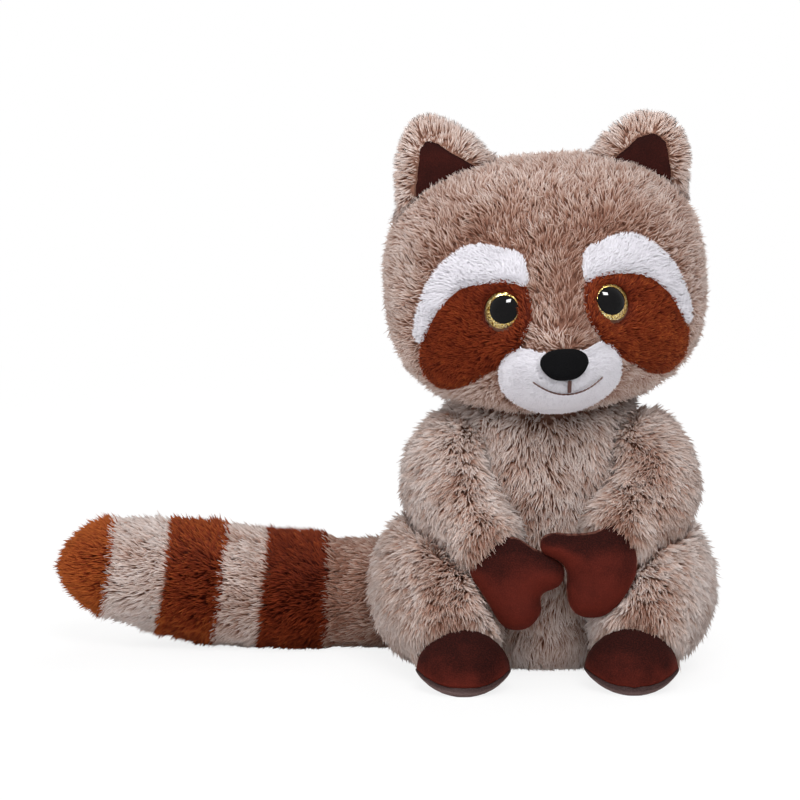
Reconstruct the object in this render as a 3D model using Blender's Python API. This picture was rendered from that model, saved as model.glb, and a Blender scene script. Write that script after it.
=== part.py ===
"""A sitting plush raccoon about 25 cm tall, with its ringed tail laid out to one side.

Lengths are in metres and +Z is up.  The animal looks along -Y, so its own left
side is at +X.  The origin is the middle of the flat seat under the torso.
"""

import math

import bmesh
import bpy
from mathutils import Matrix, Vector
from mathutils.bvhtree import BVHTree

# Sewing
SEWN_GAP = 0.0003
PANEL_THICKNESS = 0.0015

# Torso, a pear on a flat seat
TORSO_HEIGHT = 0.122
SEAT_WIDTH = 0.082
SEAT_DEPTH = 0.070
HIP_WIDTH = 0.106
HIP_DEPTH = 0.092
HIP_HEIGHT = 0.032
NECK_WIDTH = 0.070
NECK_DEPTH = 0.060

# Head, a wide squarish ball that sits on the neck
HEAD_WIDTH = 0.140
HEAD_DEPTH = 0.106
HEAD_HEIGHT = 0.1105
HEAD_FRONT_SQUARENESS = 2.7
HEAD_SIDE_SQUARENESS = 2.3
HEAD_SHIFT = 0.001
HEAD_FORWARD = 0.004
NECK_SINK = 0.0090
HEAD_YAW = math.radians(2.5)
HEAD_ROLL = math.radians(-4.0)

# Snout, a soft bump low on the head's front
SNOUT_REACH = 0.024
SNOUT_SAG = 0.004
SNOUT_DROP = 0.033
SNOUT_HALF_WIDTH = 0.024
SNOUT_BRIDGE_LENGTH = 0.032
SNOUT_CHIN_LENGTH = 0.023
SNOUT_FADE = 2.5
FACE_DETAIL = 0.3

# Face panels on the toy's left, in the head's own X and Z; the right ones mirror them
MASK_OUTLINE = (
    (0.0135, 0.0035), (0.0205, 0.0060), (0.0315, 0.0060), (0.0415, 0.0030),
    (0.0500, -0.0050), (0.0555, -0.0150), (0.0585, -0.0250), (0.0575, -0.0340),
    (0.0505, -0.0410), (0.0410, -0.0395), (0.0320, -0.0335), (0.0230, -0.0265),
    (0.0160, -0.0185), (0.0125, -0.0105), (0.0120, -0.0025),
)
BROW_OUTLINE = (
    (0.0130, 0.0040), (0.0125, 0.0110), (0.0145, 0.0170), (0.0220, 0.0195),
    (0.0300, 0.0220), (0.0380, 0.0205), (0.0460, 0.0150), (0.0530, 0.0070),
    (0.0575, -0.0030), (0.0600, -0.0120), (0.0600, -0.0190), (0.0560, -0.0180),
    (0.0500, -0.0080), (0.0410, 0.0010), (0.0310, 0.0040), (0.0200, 0.0040),
)
MUZZLE_OUTLINE = (
    (0.0000, -0.0250), (0.0100, -0.0240), (0.0170, -0.0220), (0.0235, -0.0260),
    (0.0262, -0.0335), (0.0245, -0.0420), (0.0185, -0.0485), (0.0100, -0.0530),
    (0.0000, -0.0545),
)

# Eyes, locked inside the head by a washer on a shank
EYE_SPREAD = 0.0235
EYE_LEVEL = -0.0070
EYE_DIAMETER = 0.0170
PUPIL_DIAMETER = 0.0122
EYE_BULGE = 0.0046
EYE_EDGE = 0.0008
EYE_PLATE = 0.0012
SHANK_DIAMETER = 0.0034
SHANK_LENGTH = 0.0120
WASHER_DIAMETER = 0.0120
WASHER_THICKNESS = 0.0015
WASHER_DEPTH = 0.0080

# Nose and mouth
NOSE_WIDTH = 0.0210
NOSE_HEIGHT = 0.0140
NOSE_THICKNESS = 0.0120
NOSE_LEVEL = -0.0300
NOSE_RISE = 0.0015
NOSE_TOP_FLATNESS = 0.8
NOSE_NARROWING = 0.35
THREAD_DIAMETER = 0.0013
SMILE_HALF_WIDTH = 0.0140
SMILE_END_LEVEL = -0.0400
SMILE_LOW_LEVEL = -0.0460
SMILE_SHIFT = 0.0015

# Ears, placed by the middle of the base: how far in from the head's side, and under its top
EAR_INSET = 0.0315
EAR_SINK = {"left": 0.02625, "right": 0.02325}
EAR_LENGTH = 0.0450
EAR_BASE_WIDTH = 0.0520
EAR_TIP_WIDTH = 0.0230
EAR_BASE_THICKNESS = 0.0160
EAR_TIP_THICKNESS = 0.0100
EAR_LEAN = {"left": math.radians(17.0), "right": math.radians(14.0)}
EAR_RIM = 0.0075
EAR_END_SHARES = (0.08, 0.40)

# Arms, from the shoulder to the wrist
SHOULDER_OUT = 0.0370
SHOULDER_HEIGHT = 0.1000
ELBOW_OUT = {"left": 0.0460, "right": 0.0420}
ELBOW_FORWARD = 0.0270
ELBOW_HEIGHT = 0.0740
UPPER_ARM_BOW = (0.0020, 0.0040)
ARM_END_SHARES = (0.25, 0.08)
ARM_TOP_WIDTH = 0.0400
ARM_ELBOW_WIDTH = 0.0440
ARM_WRIST_WIDTH = 0.0330
WRIST_ABOVE_PALM = 0.0130
WRIST_BEHIND_PALM = 0.0060

# Paws, mittens with a thumb, each placed by the middle of its palm
PAW_FORWARD = 0.0680
PAW_LENGTH = 0.0370
PAW_WIDTH = 0.0290
PAW_THICKNESS = 0.0180
THUMB_LENGTH = 0.0260
THUMB_WIDTH = {"left": 0.0150, "right": 0.0185}
THUMB_THICKNESS = 0.0144
PALM_PLACE = {"left": (0.0218, 0.0475), "right": (-0.0172, 0.0416)}
PALM_TILT = {"left": math.radians(8.0), "right": math.radians(-21.0)}
THUMB_PLACE = {"left": (0.0100, 0.0610), "right": (-0.0045, 0.0512)}
THUMB_TILT = {"left": math.radians(78.0), "right": math.radians(-102.0)}

# Legs, from the hip to the ankle
LEG_HIP_OUT = 0.0490
LEG_HIP_BACK = 0.0120
LEG_WIDTH = 0.0500
LEG_HEIGHT = 0.0650
LEG_RISE = 0.0020
THIGH_LENGTH = 0.0400
SHIN_REACH_SHARE = 0.68
SHIN_HEIGHT_SHARE = 0.80
ANKLE_WIDTH = 0.0360
ANKLE_HEIGHT = 0.0280
LEG_END_SHARES = (0.35, 0.12)

# Feet, velour uppers on flat soles
FOOT_OUT = 0.0360
FOOT_FORWARD = {"left": 0.0715, "right": 0.0745}
FOOT_WIDTH = 0.0410
FOOT_LENGTH = 0.0400
FOOT_HEIGHT = 0.0260
SOLE_RIM = 0.0008
SOLE_THICKNESS = 0.0060
# The sole's edge as shares of its thickness: the height, and how far in from the rim
SOLE_EDGE = ((0.0, 0.30), (0.3, 0.08), (0.65, 0.0), (1.0, 0.10))

# Tail, a row of sewn bands along one line, from the root to the tip
TAIL_LINE = (
    (-0.0150, 0.0160, 0.0215), (-0.0470, 0.0260, 0.0215), (-0.0790, 0.0270, 0.0225),
    (-0.1100, 0.0250, 0.0240), (-0.1420, 0.0250, 0.0275), (-0.1700, 0.0240, 0.0320),
    (-0.1950, 0.0220, 0.0360), (-0.2160, 0.0200, 0.0380),
)
TAIL_ROOT_DIAMETER = 0.0430
TAIL_MIDDLE_DIAMETER = 0.0530
TAIL_TIP_DIAMETER = 0.0340
TAIL_FULLEST_SHARE = 0.55
TAIL_TIP_EASE = 1.5
TAIL_SEAMS = (-0.0960, -0.1220, -0.1420, -0.1680, -0.1930)

SIDES = {"left": 1, "right": -1}

MOTTLED = (0.44, 0.34, 0.28)
RUST = (0.22, 0.07, 0.025)
WHITE = (0.80, 0.79, 0.77)
VELOUR = (0.075, 0.018, 0.012)
SOLE_GREY = (0.20, 0.15, 0.13)
BLACK = (0.008, 0.008, 0.009)
GOLD = (0.62, 0.42, 0.12)
THREAD_BROWN = (0.05, 0.015, 0.01)


def material(name, colour, roughness, metallic=0.0):
    """One Principled material."""
    finish = bpy.data.materials.new(name)
    finish.use_nodes = True
    shader = finish.node_tree.nodes["Principled BSDF"]
    shader.inputs["Base Color"].default_value = (*colour, 1.0)
    shader.inputs["Roughness"].default_value = roughness
    shader.inputs["Metallic"].default_value = metallic
    return finish


def piece(name, mesh, colour, roughness=0.9, metallic=0.0, parent=None):
    """A named object with its own material, smooth shaded."""
    mesh.materials.clear()
    mesh.materials.append(material(name, colour, roughness, metallic))
    mesh.shade_smooth()
    mesh.set_sharp_from_angle(angle=math.radians(50))
    body = bpy.data.objects.new(name, mesh)
    body.parent = parent
    bpy.context.collection.objects.link(body)
    return body


def cutter(name, mesh, parent=None):
    """A hidden body that only cuts others."""
    tool = bpy.data.objects.new(name, mesh)
    tool.parent = parent
    tool.hide_render = True
    tool.display_type = "WIRE"
    bpy.context.collection.objects.link(tool)
    return tool


def mesh_of(form, name):
    """Turn a bmesh into a mesh of triangles that point out, which cuts cleanly."""
    bmesh.ops.recalc_face_normals(form, faces=form.faces)
    bmesh.ops.triangulate(form, faces=form.faces)
    mesh = bpy.data.meshes.new(name)
    form.to_mesh(mesh)
    form.free()
    return mesh


def grown(mesh, distance):
    """A copy of a mesh with its skin moved outward."""
    copy = mesh.copy()
    for vertex, normal in zip(copy.vertices, [n.vector.copy() for n in mesh.vertex_normals]):
        vertex.co += normal * distance
    return copy


def clearance_around(body):
    """A cutter that leaves the sewing gap around a piece."""
    return cutter(body.name + "_clearance", grown(body.data, SEWN_GAP), body.parent)


def trim(body, tool, operation="DIFFERENCE"):
    """Cut a piece with a cutter, or keep only what they share."""
    step = body.modifiers.new(tool.name, "BOOLEAN")
    step.operation = operation
    step.solver = "EXACT"
    step.object = tool


def skin_over(rings, name):
    """A closed mesh over rings of points; a ring of one point is a pole."""
    form = bmesh.new()
    loops = [[form.verts.new(point) for point in ring] for ring in rings]
    for first, second in zip(loops, loops[1:]):
        count = max(len(first), len(second))
        for i in range(count):
            j = (i + 1) % count
            corners = (
                first[i % len(first)], first[j % len(first)],
                second[j % len(second)], second[i % len(second)],
            )
            form.faces.new(list(dict.fromkeys(corners)))
    for end in (loops[0], loops[-1]):
        if len(end) > 2:
            form.faces.new(end)
    return mesh_of(form, name)


def curve_value(values, share):
    """The point at a share, 0 to 1, of the smooth curve through evenly timed values."""
    spans = len(values) - 1
    span = min(int(share * spans), spans - 1)
    t = share * spans - span
    b, c = values[span], values[span + 1]
    a = values[span - 1] if span > 0 else b * 2 - c
    d = values[span + 2] if span + 2 <= spans else c * 2 - b
    return b + ((c - a) + ((a * 2 - b * 5 + c * 4 - d) + (b * 3 - a - c * 3 + d) * t) * t) * t * 0.5


def smooth_outline(points, per_span=2):
    """A closed smooth outline through a few points."""
    count = len(points)
    corners = [Vector(p) for p in points]
    outline = []
    for i in range(count):
        near = [corners[(i + k) % count] for k in (-1, 0, 1, 2)]
        outline += [curve_value(near, (1 + k / per_span) / 3) for k in range(per_span)]
    return outline


def limb(name, path, half_sizes, facing, segments, steps, rounding):
    """A stuffed limb: oval rings along a smooth path, closed by rounded ends.

    half_sizes holds the half width and half thickness at even steps of the path,
    facing is the direction that the thickness lies along, and rounding is the
    share of the length that each end takes to round off.
    """
    path = [Vector(p) for p in path]
    half_sizes = [Vector(h) for h in half_sizes]
    rings = []
    for step in range(steps + 1):
        share = (1 - math.cos(math.pi * step / steps)) / 2
        middle = curve_value(path, share)
        ends = ((share, rounding[0]), (1 - share, rounding[1]))
        taper = 1.0
        for distance, length in ends:
            if distance < length:
                taper *= math.sqrt(max(0.0, 1 - (1 - distance / length) ** 2))
        if taper < 0.01:
            rings.append([middle])
            continue
        ahead = curve_value(path, min(1.0, share + 0.01)) - curve_value(path, max(0.0, share - 0.01))
        across = ahead.cross(facing).normalized()
        through = across.cross(ahead).normalized()
        half = curve_value(half_sizes, share) * taper
        angles = [2 * math.pi * k / segments for k in range(segments)]
        rings.append([
            middle + across * half.x * math.cos(a) + through * half.y * math.sin(a) for a in angles
        ])
    return skin_over(rings, name)


def rest_on_floor(mesh):
    """Flatten whatever would reach below the floor."""
    for vertex in mesh.vertices:
        vertex.co.z = max(vertex.co.z, 0.0)
    return mesh


def turned(name, profile, segments=16):
    """A body turned about Z from radius and height pairs, axis to axis."""
    rings = []
    for radius, height in profile:
        if radius == 0:
            rings.append([Vector((0, 0, height))])
        else:
            angles = [2 * math.pi * k / segments for k in range(segments)]
            rings.append([Vector((radius * math.cos(a), radius * math.sin(a), height)) for a in angles])
    return skin_over(rings, name)


def turned_ring(name, profile, segments=16):
    """A ring turned about Z from a closed profile that stays off the axis."""
    form = bmesh.new()
    angles = [2 * math.pi * k / segments for k in range(segments)]
    loops = [
        [form.verts.new((r * math.cos(a), r * math.sin(a), z)) for a in angles] for r, z in profile
    ]
    for i, loop in enumerate(loops):
        following = loops[(i + 1) % len(loops)]
        for k in range(segments):
            j = (k + 1) % segments
            form.faces.new((loop[k], loop[j], following[j], following[k]))
    return mesh_of(form, name)


def ball(name, half_sizes, segments, rings, shape=None):
    """An ellipsoid, whose points a shape function may move."""
    form = bmesh.new()
    bmesh.ops.create_uvsphere(form, u_segments=segments, v_segments=rings, radius=1.0)
    for vertex in form.verts:
        direction = vertex.co.copy()
        vertex.co = Vector(d * h for d, h in zip(direction, half_sizes))
        if shape:
            vertex.co = shape(vertex.co, direction)
    return mesh_of(form, name)


def prism(name, outline, near, far, parent):
    """A cutter with an outline in X and Z, between two places along Y."""
    form = bmesh.new()
    face = form.faces.new([form.verts.new((x, near, z)) for x, z in outline])
    moved = bmesh.ops.extrude_face_region(form, geom=[face])["geom"]
    corners = [g for g in moved if isinstance(g, bmesh.types.BMVert)]
    bmesh.ops.translate(form, verts=corners, vec=(0, far - near, 0))
    return cutter(name, mesh_of(form, name), parent)


def panel(name, base, outline, reach, colour):
    """Cloth laid on the front of a form, inside an outline in the form's own X and Z."""
    cloth = piece(name, grown(base.data, SEWN_GAP + PANEL_THICKNESS), colour, parent=base.parent)
    cloth.matrix_basis = base.matrix_basis
    shape = prism(name + "_outline", outline, 0.0, -reach, base.parent)
    shape.matrix_basis = base.matrix_basis
    trim(cloth, shape, "INTERSECT")
    return cloth


def widened(outline, distance):
    """A smooth outline moved outward everywhere by one distance."""
    points = [Vector(p) for p in outline]
    middle = sum(points, Vector((0, 0))) / len(points)
    moved = []
    for i, point in enumerate(points):
        along = points[(i + 1) % len(points)] - points[i - 1]
        outward = Vector((along.y, -along.x)).normalized()
        moved.append(point + outward * distance)
    grew = sum((m - middle).length - (p - middle).length for m, p in zip(moved, points))
    return moved if grew > 0 else [p * 2 - m for m, p in zip(moved, points)]


def mirrored(outline, side):
    """An outline for one side, from the one drawn for the left."""
    return [(x * side, z) for x, z in outline]


def make_torso():
    """The pear-shaped body, flat underneath and open to nothing."""
    rings = []
    lower_steps = 3
    upper_steps = 6
    for step in range(lower_steps + 1):
        height = HIP_HEIGHT * (1 - math.cos(math.pi / 2 * step / lower_steps))
        swell = math.sqrt(1 - (1 - height / HIP_HEIGHT) ** 2)
        width = SEAT_WIDTH + (HIP_WIDTH - SEAT_WIDTH) * swell
        depth = SEAT_DEPTH + (HIP_DEPTH - SEAT_DEPTH) * swell
        rings.append((height, width / 2, depth / 2))
    for step in range(1, upper_steps + 1):
        share = step / upper_steps
        height = HIP_HEIGHT + (TORSO_HEIGHT - HIP_HEIGHT) * share
        slimming = math.cos(share * math.pi / 2)
        width = NECK_WIDTH + (HIP_WIDTH - NECK_WIDTH) * slimming
        depth = NECK_DEPTH + (HIP_DEPTH - NECK_DEPTH) * slimming
        rings.append((height, width / 2, depth / 2))
    segments = 24
    angles = [2 * math.pi * k / segments for k in range(segments)]
    loops = [[Vector((w * math.cos(a), d * math.sin(a), z)) for a in angles] for z, w, d in rings]
    return piece("torso", skin_over(loops, "torso"), MOTTLED)


def head_frame():
    """The empty that carries the head and all that is on it."""
    frame = bpy.data.objects.new("head_frame", None)
    height = TORSO_HEIGHT - NECK_SINK + HEAD_HEIGHT / 2
    frame.location = (HEAD_SHIFT, -HEAD_FORWARD, height)
    frame.rotation_euler = (0.0, HEAD_ROLL, HEAD_YAW)
    bpy.context.collection.objects.link(frame)
    return frame


def head_shape(_, direction):
    """A squarish ball with the snout pushed out of its front."""
    direction = direction.normalized()
    turned_front = math.atan2(direction.x, -direction.y)
    closer = turned_front - FACE_DETAIL * math.sin(turned_front)
    level = math.hypot(direction.x, direction.y)
    direction = Vector((math.sin(closer) * level, -math.cos(closer) * level, direction.z))
    across = (abs(direction.x) * 2 / HEAD_WIDTH) ** HEAD_FRONT_SQUARENESS
    across += (abs(direction.z) * 2 / HEAD_HEIGHT) ** HEAD_FRONT_SQUARENESS
    total = across ** (HEAD_SIDE_SQUARENESS / HEAD_FRONT_SQUARENESS)
    total += (abs(direction.y) * 2 / HEAD_DEPTH) ** HEAD_SIDE_SQUARENESS
    point = direction * total ** (-1 / HEAD_SIDE_SQUARENESS)
    rise = point.z + SNOUT_DROP
    rise /= SNOUT_BRIDGE_LENGTH if rise > 0 else SNOUT_CHIN_LENGTH
    strength = math.exp(-(point.x / SNOUT_HALF_WIDTH) ** 2 - rise ** 2)
    strength *= min(1.0, max(0.0, -SNOUT_FADE * direction.y))
    point.y -= SNOUT_REACH * strength
    point.z -= SNOUT_SAG * strength
    return point


def make_head(frame):
    """The head, before its eyes and nose are set in."""
    return piece("head", ball("head", (1, 1, 1), 34, 18, head_shape), MOTTLED, parent=frame)


def skin_reader(mesh):
    """Reads where a form's front skin is, and which way it faces, at a place in X and Z."""
    tree = BVHTree.FromPolygons([v.co for v in mesh.vertices], [p.vertices for p in mesh.polygons])

    def read(x, z):
        place, normal, _, _ = tree.ray_cast(Vector((x, -1.0, z)), Vector((0, 1, 0)))
        return place, normal

    return read


def make_muzzle(head, head_gap):
    """The white panel on the lower snout, and the room that it takes."""
    half = list(MUZZLE_OUTLINE)
    other = [(-x, z) for x, z in reversed(half[1:-1])]
    outline = smooth_outline(half + other)
    muzzle = panel("muzzle", head, outline, HEAD_DEPTH, WHITE)
    trim(muzzle, head_gap)
    return muzzle, prism("muzzle_room", widened(outline, SEWN_GAP), 0.0, -HEAD_DEPTH, head.parent)


def make_face_panels(head, head_gap, muzzle_room, side_name):
    """The brown mask around one eye and the white brow above it, edge to edge."""
    side = SIDES[side_name]
    mask_outline = mirrored(smooth_outline(MASK_OUTLINE), side)
    brow_outline = mirrored(smooth_outline(BROW_OUTLINE), side)
    mask = panel("mask_patch_" + side_name, head, mask_outline, HEAD_DEPTH, RUST)
    brow = panel("brow_patch_" + side_name, head, brow_outline, HEAD_DEPTH, WHITE)
    mask_room = widened(mask_outline, SEWN_GAP)
    mask_room = prism("mask_room_" + side_name, mask_room, 0.0, -HEAD_DEPTH, head.parent)
    trim(mask, muzzle_room)
    trim(brow, mask_room)
    trim(mask, head_gap)
    trim(brow, head_gap)
    return mask


def eye_dome(radius):
    """Height of the eye's rounded front over its plate, at a distance from its middle."""
    return EYE_PLATE + EYE_EDGE + (EYE_BULGE - EYE_EDGE) * (1 - (2 * radius / EYE_DIAMETER) ** 2)


def make_eye(frame, read_skin, side_name):
    """A black domed eye with its glitter ring, shank and washer, and the cutter for its seat."""
    place, normal = read_skin(EYE_SPREAD * SIDES[side_name], EYE_LEVEL)
    turn = normal.to_track_quat("Z", "Y").to_matrix().to_4x4()
    seat = Matrix.Translation(place) @ turn
    eye_radius = EYE_DIAMETER / 2
    pupil_radius = PUPIL_DIAMETER / 2
    shank_radius = SHANK_DIAMETER / 2
    washer_radius = WASHER_DIAMETER / 2
    dome = [(pupil_radius * k / 3, eye_dome(pupil_radius * k / 3)) for k in (3, 2, 1, 0)]
    eye_profile = [
        (0, -SHANK_LENGTH), (shank_radius, -SHANK_LENGTH), (shank_radius, 0),
        (eye_radius, 0), (eye_radius, EYE_PLATE), (pupil_radius, EYE_PLATE), *dome,
    ]
    inner = pupil_radius + SEWN_GAP
    base = EYE_PLATE + SEWN_GAP
    middle = (inner + eye_radius) / 2
    ring_profile = [
        (inner, base), (eye_radius, base), (eye_radius, eye_dome(eye_radius)),
        (middle, eye_dome(middle)), (inner, eye_dome(inner)),
    ]
    top = -WASHER_DEPTH
    bottom = top - WASHER_THICKNESS
    bore = shank_radius + SEWN_GAP
    washer_profile = [(bore, bottom), (washer_radius, bottom), (washer_radius, top), (bore, top)]
    room = washer_radius + SEWN_GAP
    seat_profile = [
        (0, -SHANK_LENGTH - SEWN_GAP), (bore, -SHANK_LENGTH - SEWN_GAP),
        (bore, bottom - SEWN_GAP), (room, bottom - SEWN_GAP), (room, top + SEWN_GAP),
        (bore, top + SEWN_GAP), (bore, -SEWN_GAP), (eye_radius + SEWN_GAP, -SEWN_GAP),
        (eye_radius + SEWN_GAP, EYE_DIAMETER), (0, EYE_DIAMETER),
    ]
    name = "eye_" + side_name
    eye = piece(name, turned(name, eye_profile), BLACK, 0.12, parent=frame)
    ring_name = "eye_ring_" + side_name
    ring = piece(ring_name, turned_ring(ring_name, ring_profile), GOLD, 0.35, 0.8, frame)
    washer_name = "eye_washer_" + side_name
    washer = piece(washer_name, turned_ring(washer_name, washer_profile), WHITE, 0.5, parent=frame)
    room_cutter = cutter(name + "_seat", turned(name + "_seat", seat_profile), frame)
    for body in (eye, ring, washer, room_cutter):
        body.matrix_basis = seat
    return room_cutter


def nose_shape(point, direction):
    """Flatter on top and narrower towards the bottom."""
    if direction.z > 0:
        point.z *= NOSE_TOP_FLATNESS
    else:
        point.x *= 1 + NOSE_NARROWING * direction.z
    return point


def make_nose(frame, read_skin):
    """The flocked nose, its middle a little proud of the snout."""
    half_sizes = (NOSE_WIDTH / 2, NOSE_THICKNESS / 2, NOSE_HEIGHT / 2)
    nose = piece("nose", ball("nose", half_sizes, 14, 8, nose_shape), BLACK, 0.85, parent=frame)
    place, _ = read_skin(0.0, NOSE_LEVEL)
    nose.matrix_basis = Matrix.Translation(place - Vector((0, NOSE_RISE, 0)))
    return nose


def make_thread(name, frame, read_cloth, places):
    """One line of sewn thread lying on the muzzle's cloth."""
    lift = THREAD_DIAMETER / 2 + SEWN_GAP
    thread = bpy.data.curves.new(name, "CURVE")
    thread.dimensions = "3D"
    thread.bevel_depth = THREAD_DIAMETER / 2
    thread.bevel_resolution = 1
    thread.use_fill_caps = True
    thread.render_resolution_u = 0
    line = thread.splines.new("POLY")
    line.points.add(len(places) - 1)
    for point, (x, z) in zip(line.points, places):
        place, normal = read_cloth(x, z)
        point.co = (*(place + normal * lift), 1.0)
    thread.materials.append(material(name, THREAD_BROWN, 0.7))
    body = bpy.data.objects.new(name, thread)
    body.parent = frame
    bpy.context.collection.objects.link(body)
    return body


def make_mouth(frame, read_cloth):
    """The sewn smile, and the short line from it up to the nose."""
    smile = []
    for k in range(-7, 8):
        share = k / 7
        level = SMILE_LOW_LEVEL + (SMILE_END_LEVEL - SMILE_LOW_LEVEL) * share ** 2
        smile.append((SMILE_SHIFT + SMILE_HALF_WIDTH * share, level))
    make_thread("mouth_smile", frame, read_cloth, smile)
    top = NOSE_LEVEL - NOSE_HEIGHT / 2
    bottom = SMILE_LOW_LEVEL + THREAD_DIAMETER + SEWN_GAP
    line = [(SMILE_SHIFT, top + (bottom - top) * k / 3) for k in range(4)]
    make_thread("mouth_line", frame, read_cloth, line)


def make_ear(frame, head_gap, side_name):
    """One ear and the lining on its front."""
    side = SIDES[side_name]
    base_half = Vector((EAR_BASE_WIDTH, EAR_BASE_THICKNESS)) / 2
    tip_half = Vector((EAR_TIP_WIDTH, EAR_TIP_THICKNESS)) / 2
    path = [(0, 0, EAR_LENGTH * k / 3) for k in range(4)]
    halves = [base_half.lerp(tip_half, k / 3) for k in range(4)]
    name = "ear_" + side_name
    mesh = limb(name, path, halves, Vector((0, -1, 0)), 16, 8, EAR_END_SHARES)
    ear = piece(name, mesh, MOTTLED, parent=frame)
    base_out = (HEAD_WIDTH / 2 - EAR_INSET) * side
    base_up = HEAD_HEIGHT / 2 - EAR_SINK[side_name]
    base = Matrix.Translation((base_out, 0.0, base_up))
    ear.matrix_basis = base @ Matrix.Rotation(EAR_LEAN[side_name] * side, 4, "Y")
    rim_base = EAR_BASE_WIDTH / 2 - EAR_RIM
    rim_tip = EAR_TIP_WIDTH / 2 - EAR_RIM
    top = EAR_LENGTH - EAR_RIM
    outline = [
        (-rim_base, 0.0), (-(rim_base + rim_tip) / 2, top / 2), (-rim_tip, top * 0.92), (0.0, top),
        (rim_tip, top * 0.92), ((rim_base + rim_tip) / 2, top / 2), (rim_base, 0.0),
    ]
    lining = panel("ear_lining_" + side_name, ear, outline, EAR_BASE_WIDTH, VELOUR)
    trim(lining, clearance_around_placed(ear))
    for body in (ear, lining):
        trim(body, head_gap)
    return ear


def clearance_around_placed(body):
    """A cutter that leaves the sewing gap around a piece that has its own place."""
    tool = clearance_around(body)
    tool.matrix_basis = body.matrix_basis
    return tool


def make_paw(side_name):
    """A mitten: the palm and the thumb are two ovals that run together."""
    name = "paw_" + side_name
    palm_x, palm_z = PALM_PLACE[side_name]
    thumb_x, thumb_z = THUMB_PLACE[side_name]
    palm_half = (PAW_WIDTH / 2, PAW_THICKNESS / 2, PAW_LENGTH / 2)
    thumb_half = (THUMB_WIDTH[side_name] / 2, THUMB_THICKNESS / 2, THUMB_LENGTH / 2)
    palm = ball(name, palm_half, 14, 8)
    palm.transform(Matrix.Rotation(PALM_TILT[side_name], 4, "Y"))
    palm.transform(Matrix.Translation((palm_x, -PAW_FORWARD, palm_z)))
    thumb = ball(name + "_thumb", thumb_half, 12, 6)
    thumb.transform(Matrix.Rotation(THUMB_TILT[side_name], 4, "Y"))
    thumb.transform(Matrix.Translation((thumb_x, -PAW_FORWARD, thumb_z)))
    paw = piece(name, palm, VELOUR)
    trim(paw, cutter(name + "_thumb", thumb), "UNION")
    gaps = [clearance_around(paw), cutter(name + "_thumb_clearance", grown(thumb, SEWN_GAP))]
    return paw, gaps


def make_arm(side_name, torso_gap, head_gap, paw_gaps):
    """A stuffed arm from the shoulder, round the elbow, to the paw."""
    side = SIDES[side_name]
    palm_x, palm_z = PALM_PLACE[side_name]
    tilt = PALM_TILT[side_name]
    wrist = Vector((palm_x, WRIST_BEHIND_PALM - PAW_FORWARD, palm_z))
    wrist += Vector((math.sin(tilt), 0.0, math.cos(tilt))) * WRIST_ABOVE_PALM
    shoulder = Vector((SHOULDER_OUT * side, 0.0, SHOULDER_HEIGHT))
    elbow = Vector((ELBOW_OUT[side_name] * side, -ELBOW_FORWARD, ELBOW_HEIGHT))
    bow_out, bow_back = UPPER_ARM_BOW
    upper = shoulder.lerp(elbow, 0.5) + Vector((bow_out * side, bow_back, 0.0))
    fore = elbow.lerp(wrist, 0.5)
    widths = (ARM_TOP_WIDTH, ARM_ELBOW_WIDTH, ARM_ELBOW_WIDTH, ARM_WRIST_WIDTH, ARM_WRIST_WIDTH)
    halves = [(w / 2, w / 2) for w in widths]
    name = "arm_" + side_name
    path = (shoulder, upper, elbow, fore, wrist)
    arm = piece(name, limb(name, path, halves, Vector((side, 0, 0)), 16, 9, ARM_END_SHARES), MOTTLED)
    for tool in (torso_gap, head_gap, *paw_gaps):
        trim(arm, tool)
    return clearance_around(arm)


def foot_shape(point, _):
    """A dome: everything under its widest line is flattened."""
    point.z = max(point.z, 0.0)
    return point


def make_foot(side_name):
    """The velour upper and the sole under it, both resting on the floor."""
    side = SIDES[side_name]
    place = Vector((FOOT_OUT * side, -FOOT_FORWARD[side_name], 0.0))
    upper_base = SOLE_THICKNESS + SEWN_GAP
    half_sizes = (FOOT_WIDTH / 2, FOOT_LENGTH / 2, FOOT_HEIGHT - upper_base)
    name = "foot_" + side_name
    upper = ball(name, half_sizes, 18, 10, foot_shape)
    upper.transform(Matrix.Translation(place + Vector((0, 0, upper_base))))
    foot = piece(name, upper, VELOUR)
    segments = 18
    angles = [2 * math.pi * k / segments for k in range(segments)]
    rings = []
    for share, inset in SOLE_EDGE:
        half_x = FOOT_WIDTH / 2 + SOLE_RIM - SOLE_THICKNESS * inset
        half_y = FOOT_LENGTH / 2 + SOLE_RIM - SOLE_THICKNESS * inset
        height = SOLE_THICKNESS * share
        rings.append([
            place + Vector((half_x * math.cos(a), half_y * math.sin(a), height)) for a in angles
        ])
    sole = piece("sole_" + side_name, skin_over(rings, "sole"), SOLE_GREY)
    return [clearance_around(foot), clearance_around(sole)]


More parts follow.
